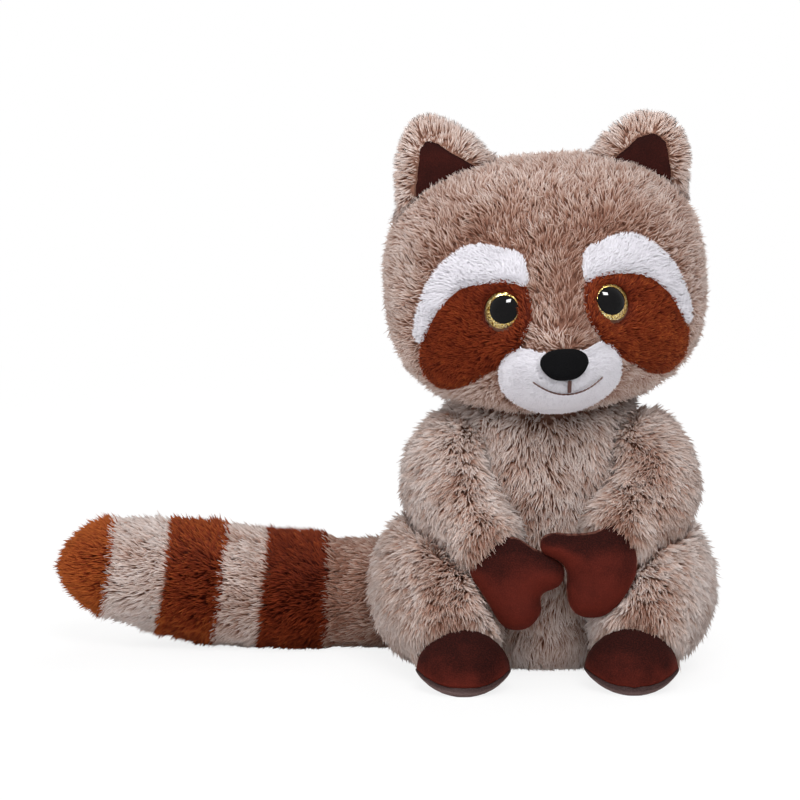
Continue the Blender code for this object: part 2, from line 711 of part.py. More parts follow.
def make_leg(side_name, gaps):
    """A stuffed leg lying on the floor from the hip to the foot."""
    side = SIDES[side_name]
    thigh = LEG_HEIGHT / 2 + LEG_RISE
    shin_out = (LEG_HIP_OUT + FOOT_OUT) / 2
    ankle_forward = FOOT_FORWARD[side_name]
    path = (
        (LEG_HIP_OUT * side, LEG_HIP_BACK, thigh),
        (LEG_HIP_OUT * side, LEG_HIP_BACK - THIGH_LENGTH / 2, thigh),
        (LEG_HIP_OUT * side, LEG_HIP_BACK - THIGH_LENGTH, thigh),
        (shin_out * side, -ankle_forward * SHIN_REACH_SHARE, thigh * SHIN_HEIGHT_SHARE),
        (FOOT_OUT * side, -ankle_forward, ANKLE_HEIGHT / 2),
    )
    middle = ((LEG_WIDTH + ANKLE_WIDTH) / 4, (LEG_HEIGHT + ANKLE_HEIGHT) / 4)
    halves = (
        (LEG_WIDTH / 2, LEG_HEIGHT / 2), (LEG_WIDTH / 2, LEG_HEIGHT / 2),
        (LEG_WIDTH / 2, LEG_HEIGHT / 2), middle, (ANKLE_WIDTH / 2, ANKLE_HEIGHT / 2),
    )
    name = "leg_" + side_name
    mesh = rest_on_floor(limb(name, path, halves, Vector((0, 0, 1)), 16, 9, LEG_END_SHARES))
    leg = piece(name, mesh, MOTTLED)
    for tool in gaps:
        trim(leg, tool)
    return clearance_around(leg)


def tail_half(share):
    """Half the tail's thickness at a share of its line: fullest past its middle."""
    if share < TAIL_FULLEST_SHARE:
        ease = math.sin(share / TAIL_FULLEST_SHARE * math.pi / 2)
        return (TAIL_ROOT_DIAMETER + (TAIL_MIDDLE_DIAMETER - TAIL_ROOT_DIAMETER) * ease) / 2
    ease = ((share - TAIL_FULLEST_SHARE) / (1 - TAIL_FULLEST_SHARE)) ** TAIL_TIP_EASE
    return (TAIL_MIDDLE_DIAMETER + (TAIL_TIP_DIAMETER - TAIL_MIDDLE_DIAMETER) * ease) / 2


def make_tail(root_gaps):
    """The tail: bands between seams across one line, light and brown in turn."""
    line = [Vector(p) for p in TAIL_LINE]
    steps = 240
    table = [(k / steps, curve_value(line, k / steps).x) for k in range(steps + 1)]
    cuts = [0.0]
    for seam in TAIL_SEAMS:
        cuts.append(min(table, key=lambda entry: abs(entry[1] - seam))[0])
    cuts.append(1.0)
    length = (line[0] - line[-1]).length
    slack = SEWN_GAP / 2 / length
    segments = 18
    angles = [2 * math.pi * k / segments for k in range(segments)]
    for band, (start, end) in enumerate(zip(cuts, cuts[1:])):
        last = band == len(cuts) - 2
        name = "tail_tip" if last else f"tail_band_{band + 1}"
        rings = []
        count = 5 if last else 3
        for k in range(count + 1):
            inner = k / count
            share = start + slack + (end - start - 2 * slack) * inner
            taper = math.sqrt(1 - (0.995 * inner) ** 3) if last else 1.0
            middle = curve_value(line, share)
            ahead = curve_value(line, min(1.0, share + 0.01)) - curve_value(line, max(0.0, share - 0.01))
            across = ahead.cross(Vector((0, 0, 1))).normalized()
            through = across.cross(ahead).normalized()
            half = tail_half(share) * taper
            rings.append([
                middle + (across * math.cos(a) + through * math.sin(a)) * half for a in angles
            ])
        mesh = rest_on_floor(skin_over(rings, name))
        body = piece(name, mesh, RUST if band % 2 else MOTTLED)
        if band == 0:
            for tool in root_gaps:
                trim(body, tool)


def make_raccoon():
    """Every piece, each cut to make room for those it is sewn to."""
    for old in list(bpy.data.objects):
        bpy.data.objects.remove(old)
    torso = make_torso()
    torso_gap = clearance_around(torso)
    frame = head_frame()
    head = make_head(frame)
    head_gap = clearance_around(head)
    trim(torso, head_gap)

    read_skin = skin_reader(head.data)
    read_cloth = skin_reader(grown(head.data, SEWN_GAP + PANEL_THICKNESS))
    nose = make_nose(frame, read_skin)
    nose_gap = clearance_around_placed(nose)
    muzzle, muzzle_room = make_muzzle(head, head_gap)
    for body in (head, muzzle):
        trim(body, nose_gap)
    make_mouth(frame, read_cloth)
    for side_name in SIDES:
        mask = make_face_panels(head, head_gap, muzzle_room, side_name)
        seat = make_eye(frame, read_skin, side_name)
        for body in (head, mask):
            trim(body, seat)
        make_ear(frame, head_gap, side_name)

    paws = {}
    paw_gaps = {}
    for side_name in SIDES:
        paws[side_name], paw_gaps[side_name] = make_paw(side_name)
    for tool in paw_gaps["right"]:
        trim(paws["left"], tool)
    leg_gaps = {}
    for side_name in SIDES:
        arm_gap = make_arm(side_name, torso_gap, head_gap, paw_gaps[side_name])
        foot_gaps = make_foot(side_name)
        cuts = [torso_gap, arm_gap, *paw_gaps[side_name], *foot_gaps]
        leg_gaps[side_name] = make_leg(side_name, cuts)
    make_tail([torso_gap, leg_gaps["right"]])


make_raccoon()
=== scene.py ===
"""The looks of a sitting plush raccoon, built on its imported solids.

The toy is sewn from a long mottled pile, a rust brown pile, a short white pile and
two velours.  Each furry solid is replaced by its backing cloth, a little sunk, with
the fibres of its pile growing out of it.
"""

import math

import bpy
import numpy as np
from mathutils import Matrix, Vector, kdtree, noise
from mathutils.bvhtree import BVHTree


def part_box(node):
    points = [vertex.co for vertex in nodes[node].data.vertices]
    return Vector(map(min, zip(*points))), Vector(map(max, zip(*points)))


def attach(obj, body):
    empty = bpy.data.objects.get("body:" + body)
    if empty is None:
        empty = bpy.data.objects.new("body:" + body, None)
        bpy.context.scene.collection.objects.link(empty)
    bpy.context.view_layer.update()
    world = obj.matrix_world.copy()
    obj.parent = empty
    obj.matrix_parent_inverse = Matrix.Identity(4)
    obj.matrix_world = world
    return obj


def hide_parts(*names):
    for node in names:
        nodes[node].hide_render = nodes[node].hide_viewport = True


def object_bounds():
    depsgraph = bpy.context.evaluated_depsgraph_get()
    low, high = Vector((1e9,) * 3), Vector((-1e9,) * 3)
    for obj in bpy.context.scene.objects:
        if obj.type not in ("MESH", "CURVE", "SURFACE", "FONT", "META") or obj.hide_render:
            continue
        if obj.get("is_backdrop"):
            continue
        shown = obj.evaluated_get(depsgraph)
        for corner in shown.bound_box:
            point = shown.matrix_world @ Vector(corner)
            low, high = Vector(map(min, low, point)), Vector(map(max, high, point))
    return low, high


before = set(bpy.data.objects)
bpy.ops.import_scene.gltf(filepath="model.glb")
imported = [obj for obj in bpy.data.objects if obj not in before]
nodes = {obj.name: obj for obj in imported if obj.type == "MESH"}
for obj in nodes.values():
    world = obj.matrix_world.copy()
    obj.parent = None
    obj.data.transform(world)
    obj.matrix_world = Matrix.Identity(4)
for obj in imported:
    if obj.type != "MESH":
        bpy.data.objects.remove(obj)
cad_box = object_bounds()
scene = bpy.context.scene


# Camera
# A long lens looks down a little on the toy, which sits facing it. The toy's tail lies
# out to the left of the picture.

CAMERA_DISTANCE = 1.5
CAMERA_DROP = math.radians(7.0)
AIM = Vector((-0.063, 0.0, 0.115))
FRAMED_WIDTH = 0.356
SENSOR = 36.0

bpy.ops.object.camera_add(
    location=AIM + CAMERA_DISTANCE * Vector((0, -math.cos(CAMERA_DROP), math.sin(CAMERA_DROP))),
    rotation=(math.pi / 2 - CAMERA_DROP, 0, 0),
)
camera = bpy.context.object
camera.data.sensor_width = SENSOR
camera.data.lens = SENSOR * CAMERA_DISTANCE / FRAMED_WIDTH
scene.camera = camera


# Finishes
# Each cloth and plastic is a material of nodes, written as sums and products of what
# changes over the piece. What is the same all over is set on the shader itself.

class Value:
    """A socket of one material's nodes. Sums and products of values add its Math nodes."""

    def __init__(self, tree, socket=None):
        self.tree = tree
        self.socket = socket

    def node(self, kind, settings=None, inputs=None, output=0):
        """Any node: its settings are set first, then the values or links of its sockets."""
        made = self.tree.nodes.new(kind)
        for key, value in (settings or {}).items():
            if key != "stops":
                setattr(made, key, value)
                continue
            ramp = made.color_ramp.elements
            ramp[0].color = (*value[0][1], 1)
            ramp[1].color = (*value[-1][1], 1)
            for place, colour in value[1:-1]:
                ramp.new(place).color = (*colour, 1)
        for key, value in (inputs or {}).items():
            if isinstance(value, Value):
                self.tree.links.new(value.socket, made.inputs[key])
            else:
                made.inputs[key].default_value = value
        return Value(self.tree, made.outputs[output])

    def math(self, operation, *others):
        """A Math node on this value and others."""
        values = dict(enumerate((self, *others)))
        return self.node("ShaderNodeMath", {"operation": operation}, values)

    def __add__(self, other):
        return self.math("ADD", other)

    def __sub__(self, other):
        return self.math("SUBTRACT", other)

    def __mul__(self, other):
        return self.math("MULTIPLY", other)

    def __rsub__(self, other):
        return self.math("MULTIPLY", -1.0).math("ADD", other)

    __radd__ = __add__
    __rmul__ = __mul__

    def part(self, k):
        """The X, Y or Z of this value, for a k of 0, 1 or 2."""
        return self.node("ShaderNodeSeparateXYZ", inputs={0: self}, output=k)

    def step(self, low, high):
        """0 under low, 1 over high, and smooth between them."""
        sockets = {"Value": self, "From Min": low, "From Max": high}
        return self.node("ShaderNodeMapRange", {"interpolation_type": "SMOOTHSTEP"}, sockets)

    def blend(self, first, second):
        """The first colour where this value is 0, and the second where it is 1."""
        sockets = {0: self, 6: first, 7: second}
        return self.node("ShaderNodeMix", {"data_type": "RGBA"}, sockets, output=2)

    def noise(self, scale, detail=2.0):
        """A soft noise over this place, from 0 to 1."""
        return self.node("ShaderNodeTexNoise", inputs={"Vector": self, "Scale": scale, "Detail": detail})


def new_finish(name, roughness, **constants):
    """A material, its shader, and the place on the piece, from which its other nodes are made."""
    material = bpy.data.materials.new(name)
    material.use_nodes = True
    shader = material.node_tree.nodes["Principled BSDF"]
    shader.inputs["Roughness"].default_value = roughness
    for socket, value in constants.items():
        shader.inputs[socket.replace("_", " ")].default_value = value
    return material, shader, Value(material.node_tree).node("ShaderNodeTexCoord", output=3)


def put(shader, socket, value):
    """Links a value to one of the shader's sockets."""
    value.tree.links.new(value.socket, shader.inputs[socket])


# Floor and studio light
# A white sheet runs out under the toy. Three soft lamps light it from in front, from the
# left and from behind, and a small fourth one shows only as the glint in its eyes.

# Each lamp's size, place and power
LAMPS = {
    "softbox": (0.80, (0.12, -1.15, 1.20), 17.0), "fill": (1.8, (-1.5, -0.6, 0.9), 13.0),
    "rim": (1.4, (0.5, 1.5, 1.1), 18.0), "glint": (0.38, (0.05, -0.75, 1.45), 60.0),
}
LAMP_AIM = Vector((0, 0, 0.1))
AMBIENT = 0.52
PAPER_WHITE = (0.92, 0.92, 0.92, 1)
FLOOR_SIZE = 8.0
FLOOR_GLOW = 0.84
FLOOR_FADE = (0.25, 1.2)

scene.view_settings.view_transform = "Standard"

bpy.ops.mesh.primitive_plane_add(size=FLOOR_SIZE, location=(0, 0, 0))
floor = bpy.context.object
floor.name = "floor"
floor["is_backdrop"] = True
paper = bpy.data.materials.new("paper")
paper.use_nodes = True
paint = Value(paper.node_tree)
paper.node_tree.nodes.remove(paper.node_tree.nodes["Principled BSDF"])


def shown_white(value):
    """1 for what the camera sees, straight or by a reflection or through something clear."""
    kinds = ("Is Camera Ray", "Is Glossy Ray", "Is Transmission Ray")
    straight, reflected, through = (value.node("ShaderNodeLightPath", output=kind) for kind in kinds)
    return straight.math("MAXIMUM", reflected).math("MAXIMUM", through)


seen = shown_white(paint)
lit = paint.node("ShaderNodeBsdfDiffuse", inputs={"Color": PAPER_WHITE})
glow = paint.node("ShaderNodeEmission", inputs={"Color": (1, 1, 1, 1), "Strength": 1.0})
spot = paint.node("ShaderNodeTexCoord", output=3)
away = paint.node("ShaderNodeVectorMath", {"operation": "LENGTH"}, {0: spot}, output=1)
share = away.step(*FLOOR_FADE) * (1 - FLOOR_GLOW) + FLOOR_GLOW
sheet = paint.node("ShaderNodeMixShader", inputs={0: seen * share, 1: lit, 2: glow})
paper.node_tree.links.new(sheet.socket, paper.node_tree.nodes["Material Output"].inputs["Surface"])
floor.data.materials.append(paper)

for name, (size, place, power) in LAMPS.items():
    bpy.ops.object.light_add(type="AREA", location=place)
    lamp = bpy.context.object
    lamp.name = name
    lamp.data.size = size
    lamp.data.energy = power
    lamp.rotation_euler = (LAMP_AIM - lamp.location).to_track_quat("-Z", "Y").to_euler()
    lamp.visible_glossy = name == "glint"
    lamp.visible_diffuse = name != "glint"

scene.world = bpy.data.worlds.new("studio")
scene.world.use_nodes = True
sky = Value(scene.world.node_tree)
strength = AMBIENT + shown_white(sky) * (1 - AMBIENT)
background = scene.world.node_tree.nodes["Background"]
background.inputs["Color"].default_value = (1, 1, 1, 1)
scene.world.node_tree.links.new(strength.socket, background.inputs["Strength"])


# Torso
# A pear of mottled pile cloth, stuffed. The pile is two-toned: brown at the root and
# pale at the tip, so it looks brown where one looks down into it and pale at the edges.

SIDES = ("left", "right")
OUTWARD = {"left": 1, "right": -1}
BODY_LENGTH = 0.0084
BODY_WIDTH = 0.00056
TORSO_SPACING = 0.00085

# How deep the backing cloth lies, and how high a root must stand clear of a neighbour
PILE_DEPTH = 0.0032
PILE_RISE = 0.0006
CLOTH_ABOVE_FLOOR = 0.0006
SLEEVE_REACH = 0.007

# Near a seam with another cloth the pile gets shorter and its backing less deep, and
# from nearly the whole reach on it is as elsewhere
SEAM_RISES = (0.0014, 0.0026)
SEAM_REACH = 0.0045
SEAM_SINK = 0.4
SEAM_PILE = 0.0022
SEAM_SLOPE = 1.3
SEAM_LEVEL = 0.006
NEARLY = 0.98

# The map that holds each fibre's tone and the place along it, and the cloth's own mark
PILE_MAP = "OFBake"
BACKING_MARK = (0.5, 0.22)

# The line that is followed out of a place, to tell whether it lies inside a solid
RAY_WAY = Vector((0.31, -0.27, 0.91)).normalized()
RAY_STEP = 0.000002

MOTTLED_STOPS = (
    (0.00, (0.165, 0.066, 0.042)), (0.28, (0.28, 0.142, 0.100)), (0.52, (0.44, 0.292, 0.235)),
    (0.78, (0.62, 0.485, 0.432)), (1.00, (0.75, 0.645, 0.605)),
)
random = np.random.default_rng(7)
PILES = {}


def pile_finish(slot, stops, tone_reach, sheen):
    """Pile cloth: a fibre's colour from root to tip, moved up or down it by the fibre's tone."""
    tint = tuple(c ** 0.5 for c in stops[-1][1])
    material, shader, place = new_finish(
        slot, 0.8, Sheen_Weight=sheen, Sheen_Roughness=0.5, Sheen_Tint=(*tint, 1), Specular_IOR_Level=0.05,
    )
    mark = place.node("ShaderNodeUVMap", {"uv_map": PILE_MAP})
    tone, along = mark.part(0), mark.part(1)
    shade = along + (tone - 0.5) * tone_reach
    put(shader, "Base Color", mark.node("ShaderNodeValToRGB", {"stops": stops}, {0: shade}))
    PILES[slot] = material


def stands_for(piece, node):
    """Puts a piece in a solid's place: hides the solid, and hangs the piece from the root."""
    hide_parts(node)
    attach(piece, "root")


def select_only(piece):
    """Deselects everything, then selects one piece and makes it the active one."""
    bpy.ops.object.select_all(action="DESELECT")
    piece.select_set(True)
    bpy.context.view_layer.objects.active = piece


# The solids whose pieces have a slightly altered shape, and what alters it
RESHAPED = {}


def shaped_places(node):
    """Where a solid's vertices lie, in the slightly altered shape that its piece has."""
    places = places_of(nodes[node].data)
    return RESHAPED[node](places) if node in RESHAPED else places


def sewn_copy(node, name):
    """A piece that starts as a copy of a solid, with its loose triangles joined."""
    piece = bpy.data.objects.new(name, nodes[node].data.copy())
    bpy.context.collection.objects.link(piece)
    piece.data.materials.clear()
    move_to(piece.data, shaped_places(node))
    select_only(piece)
    bpy.ops.mesh.customdata_custom_splitnormals_clear()
    bpy.ops.object.mode_set(mode="EDIT")
    bpy.ops.mesh.select_all(action="SELECT")
    bpy.ops.mesh.remove_doubles(threshold=0.00002)
    bpy.ops.object.mode_set(mode="OBJECT")
    bpy.ops.object.shade_smooth()
    return piece


def read(items, name, kind=np.float32, width=3):
    """One property of a mesh's vertices, corners or faces, as rows of numbers."""
    found = np.empty(len(items) * width, kind)
    items.foreach_get(name, found)
    return found.reshape(-1, width)


def places_of(mesh):
    """The vertices' places."""
    return read(mesh.vertices, "co").astype(float)


def normals_of(mesh):
    """The vertices' normals."""
    return read(mesh.vertex_normals, "vector").astype(float)


def move_to(mesh, places):
    """Gives the vertices new places."""
    mesh.vertices.foreach_set("co", places.astype(np.float32).ravel())
    mesh.update()


def unit(rows):
    """Each row, made one long."""
    return rows / np.maximum(np.linalg.norm(rows, axis=1, keepdims=True), 1e-9)


def dot(first, second):
    """How far each row of the first reaches along the same row of the second."""
    return (first * second).sum(axis=1, keepdims=True)


def finder_of(places):
    """Finds which of these places is the nearest."""
    finder = kdtree.KDTree(len(places))
    for i, place in enumerate(places):
        finder.insert(Vector(place), i)
    finder.balance()
    return finder


def surface(node):
    """A solid's faces, ready for finding what is near a place."""
    faces = [p.vertices for p in nodes[node].data.polygons]
    return BVHTree.FromPolygons([Vector(p) for p in shaped_places(node)], faces)


def covered(places, neighbours):
    """Which places lie inside any of these solids: a line out of them crosses an odd number of faces."""
    hidden = np.zeros(len(places), bool)
    for node in neighbours:
        corners = shaped_places(node)
        tree = surface(node)
        near = np.all((places > corners.min(axis=0)) & (places < corners.max(axis=0)), axis=1) & ~hidden
        for i in np.flatnonzero(near):
            at = tree.ray_cast(Vector(places[i]), RAY_WAY)[0]
            while at is not None:
                hidden[i] = not hidden[i]
                at = tree.ray_cast(at + RAY_WAY * RAY_STEP, RAY_WAY)[0]
    return hidden


def nearness(places, node, reach):
    """How near places are to a solid: 1 at its face, and 0 from the reach on."""
    tree = surface(node)
    found = [tree.find_nearest(Vector(p), reach)[3] for p in places]
    return np.array([0.0 if far is None else 1 - far / reach for far in found])


def clearance(places, neighbours, reach):
    """How far places are from the nearest of these solids, up to the reach."""
    return (1 - np.max([nearness(places, node, reach) for node in neighbours], axis=0)) * reach


def scatter(mesh, spacing):
    """Places and normals spread evenly over a mesh of triangles, one to each square of the spacing."""
    mesh.calc_loop_triangles()
    corners = read(mesh.loop_triangles, "vertices", np.int32)
    places, normals = places_of(mesh), normals_of(mesh)
    a, b, c = (places[corners[:, k]] for k in range(3))
    areas = np.linalg.norm(np.cross(b - a, c - a), axis=1) / 2
    reach = np.cumsum(areas)
    count = int(reach[-1] / spacing ** 2)
    picks = (np.arange(count) + random.random(count)) / count * reach[-1]
    face = np.searchsorted(reach, picks).clip(0, len(areas) - 1)
    u = np.sqrt(random.random(count))
    v = random.random(count)
    shares = np.stack([1 - u, u * (1 - v), u * v], axis=1)[:, :, None]
    spots = (places[corners[face]] * shares).sum(axis=1)
    facing = unit((normals[corners[face]] * shares).sum(axis=1))
    return spots, facing


def patches(places, size, seed):
    """A soft mottle from -1 to 1, with patches of one size."""
    shift = Vector((seed * 1.7, seed * 3.1, seed * 0.7))
    return np.array([noise.noise(Vector(p) / size + shift) for p in places])


# The sizes of the soft patches in which the pile turns, opens and changes its tone
SWIRL_SIZE = 0.011
PARTING_SIZE = 0.010
MOTTLE_SIZE = 0.014

# The pile opens where the cloth faces the front: its brown roots show, and painted shade darkens it
TO_FRONT = np.array((0.0, -0.99, 0.14))
FRONT_FROM = 0.70
FRONT_SPAN = 0.28
PARTING_SHADE = 0.46

# Where a fibre bends, the least that it bends, and how far fibres and tufts differ
BEND_AT = 0.45
LEAST_BEND = 0.05
LEAN_SCATTER = (8.0, 11.0)
LENGTH_SCATTER = 0.17
WIDTH_SCATTER = 0.22
TONE_SCATTER = (0.08, 0.07)

# A root's share of the cloth, in squares of a fibre's width, and how tufts hold together
ROOT_SQUARES = 2.0
TUFT_HOLD = (0.3, 1.3)
MOST_HELD = 0.85
MIDDLE_HOLD = 0.30

# Fibres that reach over the next piece are longer, and more upright by this angle
OVER_LONGER = 0.45
OVER_UPRIGHT = 16.0
FIBRE_ABOVE_FLOOR = 0.0003


def grow_pile(
    piece, roots, facing, comb, length, width, lean=(32.0, 62.0), tuft=0.0032, gather=0.32, tone=0.5,
    mottle=0.12, parting=1.0, over=0.0, swirl=0.8, curl=0.28, room=None,
):
    """Grows fibres out of a piece: each is a thin closed blade, bent over at its middle.

    comb is the way the pile lies, and lean its angles from the skin's normal in the
    lower and the upper half.  Tufts stand one tuft apart, and gather draws their tips
    together.  Where the skin faces the front, parting opens the pile and shows its
    roots, and painted shade darkens its fibres there.  Where over is 1, fibres are
    longer and reach over the piece beside them.
    curl turns each fibre at random, and room is how far it may reach before a seam.
    """
    count = len(roots)
    comb = unit(comb - facing * dot(comb, facing))
    wander = np.cross(facing, comb) * patches(roots, SWIRL_SIZE, seed=5)[:, None] * swirl
    comb = comb + wander + random.normal(0, curl, (count, 3))
    comb = unit(comb - facing * dot(comb, facing))
    front = ((facing @ TO_FRONT - FRONT_FROM) / FRONT_SPAN).clip(0, 1)
    opened = parting * front * (0.65 + 0.9 * patches(roots, PARTING_SIZE, seed=3)).clip(0, 1.2)
    low = lean[0] - 2 * opened - OVER_UPRIGHT * over + random.normal(0, LEAN_SCATTER[0], count)
    high = lean[1] - 4 * opened + random.normal(0, LEAN_SCATTER[1], count)
    low, high = np.radians(low)[:, None], np.radians(high)[:, None]
    spread = (1 + LENGTH_SCATTER * random.normal(0, 1, count)).clip(0.5, 1.4)
    long = (length * (1 + OVER_LONGER * over) * spread)[:, None]
    if room is not None:
        long = np.minimum(long, room[:, None])
    middle = roots + (facing * np.cos(low) + comb * np.sin(low)) * long * BEND_AT
    tip = middle + (facing * np.cos(high) + comb * np.sin(high)) * long * (1 - BEND_AT)
    centres = random.permutation(count)[: max(1, int(count * (width / tuft) ** 2 * ROOT_SQUARES))]
    finder = finder_of(roots[centres])
    nearest = centres[[finder.find(Vector(p))[1] for p in roots]]
    hold = (gather * random.uniform(*TUFT_HOLD, count)).clip(0, MOST_HELD)[:, None]
    middle += (middle[nearest] - middle) * hold * MIDDLE_HOLD
    tip += (tip[nearest] - tip) * hold
    spine = unit(tip - roots)
    outer = unit(facing - spine * dot(facing, spine))
    bend = np.maximum(dot(middle - roots, outer), LEAST_BEND * long)
    middle = roots + spine * dot(middle - roots, spine) + outer * bend
    side = np.cross(spine, outer)
    half = (width / 2 * (1 + WIDTH_SCATTER * random.normal(0, 1, count)).clip(0.5, 1.6))[:, None]
    corners = np.stack([roots, middle - side * half, middle + side * half, tip], axis=1)
    corners[:, :, 2] = np.maximum(corners[:, :, 2], FIBRE_ABOVE_FLOOR)
    looks = np.stack([facing, facing - side * 0.45, facing + side * 0.45, facing + spine * 0.3], axis=1)
    # Parted fibres are coloured darker: partly their roots, and partly painted shade in the opened pile
    tones = tone - PARTING_SHADE * opened + mottle * patches(roots, MOTTLE_SIZE, seed=1)
    tones = tones + TONE_SCATTER[0] * random.normal(0, 1, count)
    tones = (tones + TONE_SCATTER[1] * random.normal(0, 1, count)[nearest]).clip(0.03, 0.97)
    order = np.array(((0, 2, 1), (3, 1, 2), (0, 1, 3), (0, 3, 2)))[None]
    order = (order + np.arange(count)[:, None, None] * 4).reshape(-1, 3)
    u = (tones[:, None] + np.array((0.0, -0.02, 0.02, 0.0))).ravel()
    v = np.tile((0.0, BEND_AT, BEND_AT, 1.0), count)
    add_faces(piece, corners.reshape(-1, 3), order, np.stack([u, v], axis=1), looks.reshape(-1, 3))


def add_faces(piece, corners, order, marks, looks):
    """Adds triangles to a piece of triangles, with their place on the pile map and the way they look."""
    backing = piece.data
    backing.calc_loop_triangles()
    cloth = read(backing.loop_triangles, "vertices", np.int32).ravel()
    cloth_places, cloth_looks = places_of(backing), normals_of(backing)
    places = np.concatenate([cloth_places, corners])
    looks = np.concatenate([cloth_looks, unit(looks)])
    marks = np.concatenate([np.tile(BACKING_MARK, (len(cloth_places), 1)), marks])
    used = np.concatenate([cloth, order.ravel() + len(cloth_places)]).astype(np.int32)
    mesh = bpy.data.meshes.new(piece.name)
    mesh.vertices.add(len(places))
    mesh.loops.add(len(used))
    mesh.polygons.add(len(used) // 3)
    mesh.vertices.foreach_set("co", places.astype(np.float32).ravel())
    mesh.loops.foreach_set("vertex_index", used)
    mesh.polygons.foreach_set("loop_start", np.arange(0, len(used), 3, dtype=np.int32))
    mesh.update(calc_edges=True)
    layer = mesh.uv_layers.new(name=PILE_MAP)
    layer.uv.foreach_set("vector", marks[used].astype(np.float32).ravel())
    mesh.shade_smooth()
    mesh.normals_split_custom_set_from_vertices(looks.astype(np.float32))
    mesh.materials.append(backing.materials[0])
    piece.data = mesh
    bpy.data.meshes.remove(backing)


def sinking(room, reach, least, depth):
    """How deep backing cloth lies: at an edge the least share of its depth, and all of it far off."""
    return (depth * (least + (1 - least) * room / reach))[:, None]


def furry(
    node, slot, neighbours, comb, length, width, spacing, depth=PILE_DEPTH, axis=None, sleeve_of=None,
    seams=(), shorter=None, **pile
):
    """Replaces a furry solid: its backing cloth, sunk under the solid's face, and its pile.

    comb gives the way the pile lies from the roots' places and normals, axis the way
    along which a band's backing cloth isn't sunk, and sleeve_of the piece that comes
    out of this one and that its longest fibres reach over.  At the seams with other
    cloths the pile is short, and shorter gives where else it may only be so long.
    """
    piece = sewn_copy(node, node + "_pile")
    mesh = piece.data
    mesh.materials.append(PILES[slot])
    roots, facing = scatter(mesh, spacing)
    bare = ~covered(roots + facing * PILE_RISE, neighbours)
    for rise in SEAM_RISES if seams else ():
        bare &= ~covered(roots + facing * rise, seams)
    roots, facing = roots[bare], facing[bare]
    places, normals = places_of(mesh), normals_of(mesh)
    shown = ~covered(places + normals * PILE_RISE, neighbours)
    inward = normals
    if axis is not None:
        inward = unit(normals - axis * (normals @ axis)[:, None])
        level = (np.max([nearness(roots, band, SEAM_LEVEL) for band in neighbours], axis=0) * 2).clip(0, 1)
        facing = unit(facing - axis * (facing @ axis * level)[:, None])
    room, sink, low = None, depth, depth
    if seams:
        room = clearance(roots, seams, SEAM_REACH)
        sink = sinking(room, SEAM_REACH, SEAM_SINK, depth)
        low = sinking(clearance(places, seams, SEAM_REACH), SEAM_REACH, SEAM_SINK, depth)
        room = np.where(room > SEAM_REACH * NEARLY, np.inf, SEAM_PILE + room * SEAM_SLOPE)
    if shorter:
        room = np.minimum(shorter(roots, facing), np.inf if room is None else room)
    sunk = places - inward * low * shown[:, None]
    sunk[:, 2] = np.maximum(sunk[:, 2], np.minimum(places[:, 2], CLOTH_ABOVE_FLOOR))
    move_to(mesh, sunk)
    over = nearness(roots, sleeve_of, SLEEVE_REACH) if sleeve_of else 0.0
    way = comb(roots, facing)
    grow_pile(piece, roots - facing * sink, facing, way, length, width, over=over, room=room, **pile)
    stands_for(piece, node)


def downward(roots, facing):
    """Pile that lies down the piece."""
    return np.tile((0.0, 0.0, -1.0), (len(roots), 1))


# The arms' upper ends are drawn up and in to the neck, and all that lies beside them
# follows, so they are altered before the torso's pile is grown
SHOULDER_RISE = 0.0075
SHOULDER_IN = {"right": 0.0050, "left": 0.0040}
ARMS_ASIDE = 0.0016


def shouldered(side):
    """An arm whose upper end is drawn up to the neck."""
    low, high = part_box("arm_" + side)

    def shape(places):
        share = ((places[:, 2] - low.z) / (high.z - low.z)).clip(0, 1) ** 3
        moved = places.copy()
        moved[:, 2] += SHOULDER_RISE * share
        moved[:, 0] += ARMS_ASIDE - OUTWARD[side] * SHOULDER_IN[side] * share
        return moved

    return shape


for side in SIDES:
    RESHAPED["arm_" + side] = shouldered(side)
pile_finish("mottled_pile", MOTTLED_STOPS, tone_reach=0.85, sheen=0.12)
beside_torso = ["head", "tail_band_1"] + [kind + side for kind in ("arm_", "leg_", "paw_") for side in SIDES]
furry(
    "torso", "mottled_pile", beside_torso, downward, BODY_LENGTH, BODY_WIDTH, TORSO_SPACING, parting=0.5,
    tone=0.65, gather=0.26,
)


# Head
# A wide ball of the same pile, whose snout is pushed forward. The pile is brushed away
# from the nose: up over the forehead, and out and down over the cheeks.

FACE_PANELS = ["muzzle"] + [kind + side for kind in ("mask_patch_", "brow_patch_") for side in SIDES]
BACK_SPAN = 0.03
EYE_SLIT = 0.0030
SLIT_PILE = 0.0004

# The ears and their linings spread low inside and high outside, and lie further forward
EAR_LOW = 0.204
EAR_HEIGHT = 0.038
EAR_FORWARD = 0.0068
EAR_WIDER = {"right": (0.0060, 0.0006), "left": (0.0030, 0.0072)}
EAR_DROP = {"right": 0.0, "left": 0.0016}
LINING_WIDER = {"right": (0.0118, 0.0010), "left": (0.0060, 0.0078)}
LINING_DROP = 0.0026


def middle_of(node):
    """The middle of a solid's box."""
    low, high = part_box(node)
    return np.array((low + high) / 2)


nose_middle = middle_of("nose")
head_middle = middle_of("head")


def from_nose(roots, facing):
    """Pile that is brushed away from the nose, and down the back of the head."""
    back = ((roots[:, 1] - head_middle[1]) / BACK_SPAN).clip(0, 1)[:, None]
    over_face = unit(roots - nose_middle) + np.array((0.0, 0.25, -0.05))
    return over_face * (1 - back) + np.array((0.0, 0.0, -1.0)) * back


def clear_of_eyes(roots, facing):
    """The head's pile is clipped where it would show through the slits round the eyes."""
    near = clearance(roots, ["eye_left", "eye_right"], EYE_SLIT) < EYE_SLIT * NEARLY
    return np.where(near, SLIT_PILE, np.inf)


